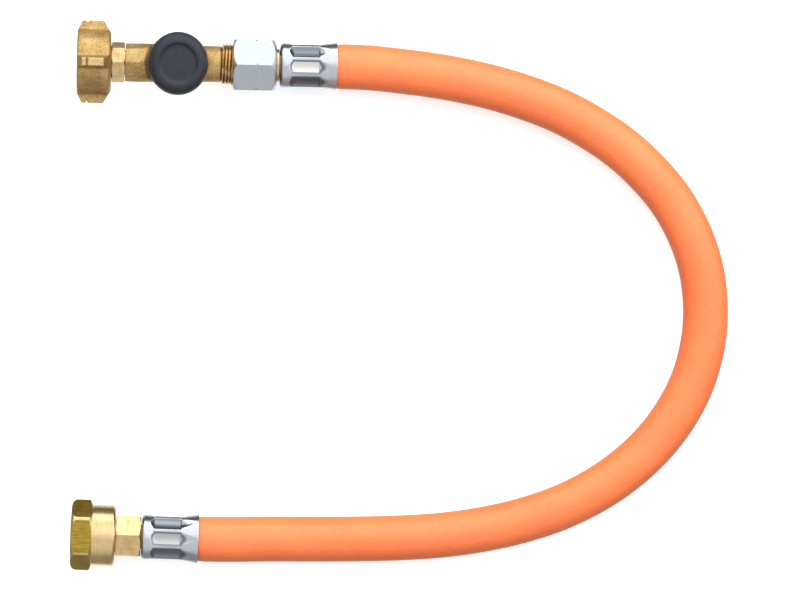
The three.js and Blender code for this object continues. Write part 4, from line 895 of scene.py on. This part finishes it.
class GASHOSE_OT_button(Operator):
    """Makes the rubber cap of the push button and the hexagon bush below it"""
    bl_idname = "gas_hose.button"
    bl_label = "Push button"

    def execute(self, context):
        cap = sizes("button")
        radius, hole = cap.width / 2, 9.6
        rim = cap.dish_radius + 0.55
        share = np.linspace(0, math.pi / 2, 14)
        dome_start = cap.bottom + 0.36 * (cap.top - cap.bottom)
        dome = np.stack([dome_start + (cap.top - dome_start) * np.sin(share) ** 0.92,
                         rim + (radius - rim) * np.cos(share)], axis=1)
        floor = cap.top - cap.dish_depth
        line = profile([
            (18.0, 0.0), (18.0, hole), (cap.bottom, hole), (cap.bottom, radius - 0.45),
            (cap.bottom + 0.55, radius), *dome.tolist(), (cap.top - 0.05, cap.dish_radius + 0.1),
            (floor, cap.dish_radius - 0.75), (floor + 0.12, 3.0), (floor + 0.15, 0.0),
        ], fillet=0.6, spacing=0.45, closed=False)
        points = stood_up(about_axis(*line, angles(160)))
        points[..., 1] *= cap.stretch
        make_piece("rubber_button", "button_cap", cap_rubber(UPPER_END), [points], UPPER_END,
                   body="button", loop=False, sharp=60)
        self.bush()
        return {"FINISHED"}

    def bush(self):
        """Makes the gland bush: a plug in the boss under a hexagon head, bored for the pin."""
        angle = angles(180)
        flats, pin, plug, corner = 12.4, 1.8, 5.0, 7.15
        height, radius = profile([
            (5.0, pin), (5.0, plug), (10.1, plug, 0.1), (10.1, 6.9, 0.1), (10.4, corner, 0.1),
            (12.0, corner, 0.1), (12.4, 6.7, 0.1), (12.4, 3.6, 0.2), (10.6, 3.6, 0.1),
            (10.6, pin, 0.1),
        ], spacing=0.4)
        skin = cut_to(prism_radius(angle, 6, flats), radius, 5.1, 0.1)
        make_piece("hexagon_bush", "gland_bush", turned_brass(UPPER_END),
                   [stood_up(about_axis(height, skin, angle))], UPPER_END, sharp=30)


class GASHOSE_OT_steel_nut(Operator):
    """Makes the zinc-plated nut with its chamfered ends and corner notches, and the tail's neck behind it"""
    bl_idname = "gas_hose.steel_nut"
    bl_label = "Zinc-plated nut"

    def execute(self, context):
        nut = sizes("steel_nut")
        angle = angles(360)
        flat = nut.flats / 2
        corner = flat / math.cos(math.pi / 6)
        start, end = STEEL_NUT_START, STEEL_NUT_END
        bore, hole, shoulder = 8.3, 6.6, 71.2
        x, radius = profile([
            (start, bore + 0.2, 0.1), (start, flat - 0.05, 0.2), (start + 0.45, flat + 0.55, 0.5),
            (start + 1.5, corner + 0.1, 0.4), (end - 2.3, corner + 0.1, 0.5),
            (end - 0.9, flat + 0.2, 0.9), (end, 8.5, 0.5), (end, hole), (shoulder, hole),
            (shoulder, bore), (start + 0.4, bore, 0.1),
        ], spacing=0.2)
        notch = corner - nut.notch_depth + 1.15 * np.abs(x - start - nut.notch_place)
        hexagon = np.minimum(prism_radius(angle, 6, nut.flats), notch)
        skin = cut_to(hexagon, radius, 8.6, 0.18)
        make_piece("zinc_nut", "steel_union_nut", zinc_plate(UPPER_END),
                   [about_axis(x, skin, angle)], UPPER_END, sharp=32)
        bore, flange, neck = 2.1, 7.5, 6.3
        tail = hose_tail([
            (63.2, bore, 0.1), (63.2, 2.7, 0.1), (66.3, 5.7, 0.1), (66.3, flange), (70.9, flange),
            (70.9, neck, 0.1), (75.9, neck), (75.9, 4.6, 0.1),
        ], UPPER_STEM_START)
        make_piece("upper_hose_tail", "inlet_hose_tail", turned_brass(UPPER_END),
                   [about_axis(*profile(tail), angles(120))], UPPER_END, sharp=35)
        return {"FINISHED"}


# Pieces of the lower end

class GASHOSE_OT_swivel_nut(Operator):
    """Makes the swivel nut: a turned-down hexagon, a round collar and the inside thread"""
    bl_idname = "gas_hose.swivel_nut"
    bl_label = "Swivel nut"

    def execute(self, context):
        nut = sizes("swivel_nut")
        angle = angles(360)
        flat, corner = nut.flats / 2, nut.corner_radius
        collar, thread = nut.collar_radius, nut.thread_radius
        hex_end, shoulder, hole = nut.hex_length, 13.2, 6.3
        x, radius = profile([
            (0, thread + 0.75, 0.15), (0, flat - 0.3, 0.4), (0.85, corner - 0.5, 0.9), (1.8, corner, 0.6),
            (hex_end - 0.95, corner, 0.25), (hex_end, flat - 0.2, 0.25), (hex_end + 0.05, collar, 0.12),
            (SWIVEL_END - 0.75, collar, 0.3), (SWIVEL_END, collar - 0.75, 0.25), (SWIVEL_END, hole, 0.2),
            (shoulder, hole, 0.2), (shoulder, thread, 0.2), (0.75, thread, 0.2),
        ], spacing=0.2)
        hexagon = smooth_min(radius, prism_radius(angle, 6, nut.flats, 30), 0.16)
        skin = np.where((radius > collar + 0.01) & (x <= hex_end + 0.02), hexagon, radius)
        skin = tapped(skin, x, radius, angle, nut, 0.62, 0.7, shoulder - 0.7)
        make_piece("swivel_nut_shell", "outlet_union_nut",
                   milled_brass(LOWER_END, nut.flats, hex_end),
                   [about_axis(x, skin, angle)], LOWER_END, body="swivel_nut", sharp=30)
        return {"FINISHED"}


class GASHOSE_OT_lower_tail(Operator):
    """Makes the lower hose tail with its hexagon, and the flat seal on its nose"""
    bl_idname = "gas_hose.lower_tail"
    bl_label = "Lower tail and seal"

    def execute(self, context):
        flats = sizes("swivel_nut").tail_flats
        angle = angles(360)
        flat = flats / 2
        corner = flat / math.cos(math.pi / 6)
        start, end = TAIL_HEX_START, TAIL_HEX_END
        nose, bore, shaft, groove = 9.4, 2.1, 6.0, 5.25
        x, radius = profile(hose_tail([
            (nose, bore), (nose, shaft), (11.4, shaft, 0.1), (11.4, groove, 0.1), (13.2, groove, 0.1),
            (13.2, shaft, 0.1), (start, shaft, 0.1), (start, flat + 0.3, 0.1),
            (start + 0.25, corner + 0.02, 0.1), (end - 0.75, corner + 0.02, 0.1),
            (end, flat - 0.1, 0.15), (end, 4.6, 0.1),
        ], LOWER_STEM_START), spacing=0.3, plain=6.5)
        skin = cut_to(prism_radius(angle, 6, flats, -6), radius, flat - 0.3, 0.12)
        make_piece("lower_hose_tail", "outlet_hose_tail", turned_brass(LOWER_END),
                   [about_axis(x, skin, angle)], LOWER_END, sharp=30)
        make_seal("lower_flat_seal", "outlet_seal", LOWER_END, 7.6, 3.15, 5.75)
        return {"FINISHED"}


# Hose

def smooth_line(points, spacing):
    """A natural cubic spline through the points, by the length of its chords, read at even spacing."""
    run = np.concatenate([[0], np.cumsum(np.linalg.norm(np.diff(points, axis=0), axis=1))])
    step = np.diff(run)
    count = len(points)
    system = np.eye(count)
    target = np.zeros_like(points)
    inner = np.arange(1, count - 1)
    system[inner, inner - 1] = step[:-1]
    system[inner, inner] = 2 * (step[:-1] + step[1:])
    system[inner, inner + 1] = step[1:]
    slope = np.diff(points, axis=0) / step[:, None]
    target[inner] = 6 * (slope[1:] - slope[:-1])
    bend = np.linalg.solve(system, target)
    place = np.linspace(0, run[-1], int(run[-1] / spacing))
    left = np.clip(np.searchsorted(run, place, side="right") - 1, 0, count - 2)
    width = step[left][:, None]
    ahead = (place - run[left])[:, None]
    back = width - ahead
    line = (bend[left] * back ** 3 + bend[left + 1] * ahead ** 3) / (6 * width)
    line += (points[left] / width - bend[left] * width / 6) * back
    line += (points[left + 1] / width - bend[left + 1] * width / 6) * ahead
    return place, line


def around_line(line, radius, angle, beside, above):
    """A circle of each point's radius, from its own directions beside and above."""
    ring = np.sin(angle)[:, None] * beside[:, None] + np.cos(angle)[:, None] * above[:, None]
    return line[:, None] + radius[:, None, None] * ring


def tube_skin(line, radius, angle):
    """A circle of each point's radius, carried square to the line with its top kept up."""
    tangent = np.gradient(line, axis=0)
    tangent /= np.linalg.norm(tangent, axis=1)[:, None]
    beside = np.cross(np.array([0.0, 0.0, 1.0]), tangent)
    beside /= np.linalg.norm(beside, axis=1)[:, None]
    above = np.cross(tangent, beside)
    return around_line(line, radius, angle, beside, above)


class GASHOSE_OT_hose(Operator):
    """Makes the hose: one tube along its route, squeezed where it enters each ferrule"""
    bl_idname = "gas_hose.hose"
    bl_label = "Hose"

    def execute(self, context):
        hose = sizes("hose")
        ferrule = sizes("ferrules").length
        upper_mouth, lower_mouth = UPPER_FERRULE_START + ferrule, LOWER_FERRULE_START + ferrule
        inside = np.array([20.0, 15.0, 10.0, 5.0])
        upper = placed(np.stack([upper_mouth - inside, 0 * inside, 0 * inside], axis=1), UPPER_END)
        lower = placed(np.stack([lower_mouth - inside[::-1], 0 * inside, 0 * inside], axis=1), LOWER_END)
        points = np.concatenate([upper, np.array(HOSE_ROUTE), lower]) / MM
        place, line = smooth_line(points, 1.1)
        from_mouth = np.minimum(place, place[-1] - place) - inside[0]
        squeeze = np.interp(from_mouth, *zip((-20, 2.1), (-5.9, 2.1), (-1.5, 0.75), (0.0, 0.2), (2.0, 0.0)))
        angle = angles(96)
        outside = tube_skin(line, hose.radius - squeeze, angle)
        stretched = hose.bore_radius + 0.62
        bore = tube_skin(line[::4], np.full(len(line[::4]), stretched), angle)[::-1]
        skin = np.concatenate([outside, bore]) * MM
        piece = make_piece("orange_hose", "hose", orange_rubber(), [skin], sharp=60)
        self.lay_pattern(piece, place, angle, hose.radius, len(skin))
        float(place[-1] * MM)
        (line * MM).tolist()
        return {"FINISHED"}

    def lay_pattern(self, piece, place, angle, radius, rows):
        """Stores each face corner's way along the hose and round it, in millimetres. The last faces of a ring
        end at a full turn, where the finish has gone round a whole number of times, so that no seam shows."""
        along = np.zeros(rows + 1)
        along[:len(place)] = place
        around = radius * np.append(angle, TURN)
        near, far = along[:-1], along[1:]
        left, right = around[:-1], around[1:]
        corners = {
            "along": np.stack([near, far, far, near], axis=1)[:, None],
            "around": np.stack([left, left, right, right], axis=1)[None, :],
        }
        for name, values in corners.items():
            values = np.broadcast_to(values, (rows, len(angle), 4))
            layer = piece.data.attributes.new(name, "FLOAT", "CORNER")
            layer.data.foreach_set("value", values.astype(np.float32).ravel())


# Inner pieces

def coil_skin(start, end, radius, wire, turns):
    """A round wire along a helix about x: its middle keeps the radius while its place and angle grow evenly,
    and its section is a circle of the wire's radius square to its way. Each end closes in a point."""
    share = np.linspace(0, 1, turns * 36 + 1)
    angle = TURN * turns * share
    rise = end - start - 2 * wire
    outward = np.stack([0 * angle, np.cos(angle), np.sin(angle)], axis=1)
    way = np.stack([np.full_like(angle, rise / (TURN * turns)), -radius * np.sin(angle),
                    radius * np.cos(angle)], axis=1)
    way /= np.linalg.norm(way, axis=1)[:, None]
    middle = radius * outward
    middle[:, 0] = start + wire + rise * share
    middle = np.concatenate([middle[:1], middle, middle[-1:]])
    outward = np.concatenate([outward[:1], outward, outward[-1:]])
    beside = np.cross(outward, np.concatenate([way[:1], way, way[-1:]]))
    thick = np.full(len(middle), wire)
    thick[[0, -1]] = 0
    section = angles(14)
    return around_line(middle, thick, section, beside, outward)


class GASHOSE_OT_springs(Operator):
    """Makes the springs of the button and of the poppet"""
    bl_idname = "gas_hose.springs"
    bl_label = "Springs"

    def execute(self, context):
        finish = spring_wire(UPPER_END)
        self.spring("button_spring", "pin_spring", "button_press", finish, True, *BUTTON_SPRING)
        self.spring("valve_spring", "poppet_spring", "poppet_close", finish, False, *POPPET_SPRING)
        return {"FINISHED"}

    def spring(self, name, stands_for, joint, finish, upright, ends, radius, wire):
        """Makes one coil, along the axis or upright over it."""
        coil = coil_skin(min(ends), max(ends), radius, wire, SPRING_TURNS)
        line = np.array([[place, 0.0, 0.0] for place in ends])
        if upright:
            coil, line = stood_up(coil), stood_up(line)
        seat, tip = placed(line, UPPER_END)
        piece = make_piece(name, stands_for, finish, [coil], UPPER_END, loop=False, sharp=60)
        travel = next(row["range_m"][1] for row in frame["joints"] if row["name"] == joint)
        tuple(tip - seat)
        1 - travel / (MM * (max(ends) - min(ends)))
        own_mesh(piece)


class GASHOSE_OT_inner_pieces(Operator):
    """Gives the rings, poppet, pin and button core their finishes"""
    bl_idname = "gas_hose.inner_pieces"
    bl_label = "Inner pieces"

    def execute(self, context):
        finishes = (
            (spring_wire(UPPER_END), ("inlet_retaining_ring", "push_pin")),
            (spring_wire(LOWER_END), ("outlet_retaining_ring",)),
            (turned_brass(UPPER_END), ("poppet_guide", "poppet")),
            (plain_moulding("ring_rubber", "seal", 0.5),
             ("nipple_o_ring", "poppet_seal", "bush_o_ring", "pin_seal")),
            (plain_moulding("moulded_nylon", "nylon", 0.35), ("button_core",)),
        )
        for finish, names in finishes:
            for name in names:
                for slot in frame["nodes"][name].material_slots:
                    slot.material = finish
        return {"FINISHED"}


# Stage

class GASHOSE_OT_stage(Operator):
    """Makes the camera, the pale floor and the soft lights"""
    bl_idname = "gas_hose.stage"
    bl_label = "Camera, floor and lights"

    def execute(self, context):
        stage = context.scene.gas_hose_stage
        camera = bpy.data.objects.new("camera", bpy.data.cameras.new("camera"))
        camera.data.lens = stage.lens
        camera.data.sensor_width = 36.0
        camera.data.clip_start, camera.data.clip_end = 0.05, 20.0
        camera.location = (*stage.centre, stage.height)
        context.scene.collection.objects.link(camera)
        context.scene.camera = camera
        self.floor(context, stage)
        self.light(context, "key_light", (0.35, 0.95, 1.1), 1.5, stage.key_power)
        self.light(context, "fill_light", (-0.7, -0.7, 1.0), 1.2, stage.fill_power)
        self.sky(context, stage.sky)
        context.scene.view_settings.view_transform = "Standard"
        return {"FINISHED"}

    def floor(self, context, stage):
        """A plain square, just under the lowest touching points."""
        half, low = 4.0, -0.0002
        corners = [(-half, -half, low), (half, -half, low), (half, half, low), (-half, half, low)]
        mesh = bpy.data.meshes.new("floor")
        mesh.from_pydata(corners, [], [(0, 1, 2, 3)])
        floor = bpy.data.objects.new("floor", mesh)
        context.scene.collection.objects.link(floor)
        finish = Finish("pale_floor", None, {"Specular IOR Level": 0.1, "Emission Strength": stage.floor_glow,
                                             "Emission Color": (1, 1, 1, 1)})
        cloud = finish.noise(3.0, 2.0)
        base = finish.mix(cloud * 0.1, stage.floor_colour, (0.9, 0.9, 0.9))
        mesh.materials.append(finish.surface(base, 0.9 + cloud * 0.05))
        floor.visible_glossy = False
        floor.visible_diffuse = False

    def light(self, context, name, place, size, power):
        """A square soft light that looks at the middle of the part. Metal mirrors the room, not the lamps."""
        light = bpy.data.lights.new(name, "AREA")
        light.energy = power
        light.size = size
        lamp = bpy.data.objects.new(name, light)
        lamp.location = place
        lamp.visible_glossy = False
        lamp.rotation_euler = (Vector((0.07, 0.0, 0.0)) - Vector(place)).to_track_quat("-Z", "Y").to_euler()
        context.scene.collection.objects.link(lamp)

    def sky(self, context, strength):
        """A pale room that is brighter beyond the upper end than behind the lower one, most of all low down
        there. The half below, which the part sees in place of the floor, is dark towards the room's edge and
        bright straight down, as over a lit table."""
        world = bpy.data.worlds.new("room")
        world.use_nodes = True
        room = Wiring(world.node_tree)
        x, y, z = room.parts(room.node("ShaderNodeTexCoord").other("Generated"))
        beyond = y + x * 0.35
        side = room.ramp(beyond, -0.2, 0.4)
        window = room.ramp(beyond, 0.3, 0.8) * room.ramp(z, 0.5, 0.2)
        dusk = (1 - side) * room.ramp(z, 0.65, 0.0)
        above = (side * 0.6 + 0.76 + window * 1.2) * (1 - dusk * 0.62)
        table = room.ramp(z, -0.6, -0.85) * 0.9 + 0.12 + (1 - side) * 0.18
        below = room.ramp(z, 0.02, -0.08)
        level = (above * (1 - below) + table * below) * strength
        background = world.node_tree.nodes["Background"]
        background.inputs["Color"].default_value = (0.98, 0.99, 1.0, 1.0)
        world.node_tree.links.new(level.socket, background.inputs["Strength"])
        context.scene.world = world


OPERATORS = [
    GASHOSE_OT_stage, GASHOSE_OT_hose, GASHOSE_OT_cylinder_nut, GASHOSE_OT_nipple, GASHOSE_OT_valve_body,
    GASHOSE_OT_button, GASHOSE_OT_steel_nut, GASHOSE_OT_ferrules, GASHOSE_OT_swivel_nut,
    GASHOSE_OT_lower_tail, GASHOSE_OT_springs, GASHOSE_OT_inner_pieces,
]


class GASHOSE_PT_panel(Panel):
    """Lists every step in the order of making, and the sizes that they read."""
    bl_idname = "GASHOSE_PT_panel"
    bl_label = "Gas hose"
    bl_space_type = "VIEW_3D"
    bl_region_type = "UI"
    bl_category = "Gas hose"

    def draw(self, context):
        for step in OPERATORS:
            self.layout.operator(step.bl_idname)
        for group in GROUPS:
            box = self.layout.box()
            values = getattr(context.scene, group)
            for key in values.__annotations__:
                box.prop(values, key)


def register():
    for cls in (*GROUPS.values(), *OPERATORS, GASHOSE_PT_panel):
        bpy.utils.register_class(cls)
    for name, cls in GROUPS.items():
        setattr(bpy.types.Scene, name, PointerProperty(type=cls))


def unregister():
    for name in GROUPS:
        delattr(bpy.types.Scene, name)
    for cls in reversed((*GROUPS.values(), *OPERATORS, GASHOSE_PT_panel)):
        bpy.utils.unregister_class(cls)


def main():
    register()
    for step in OPERATORS:
        group, name = step.bl_idname.split(".")
        getattr(getattr(bpy.ops, group), name)()


if __name__ == "__main__":
    main()
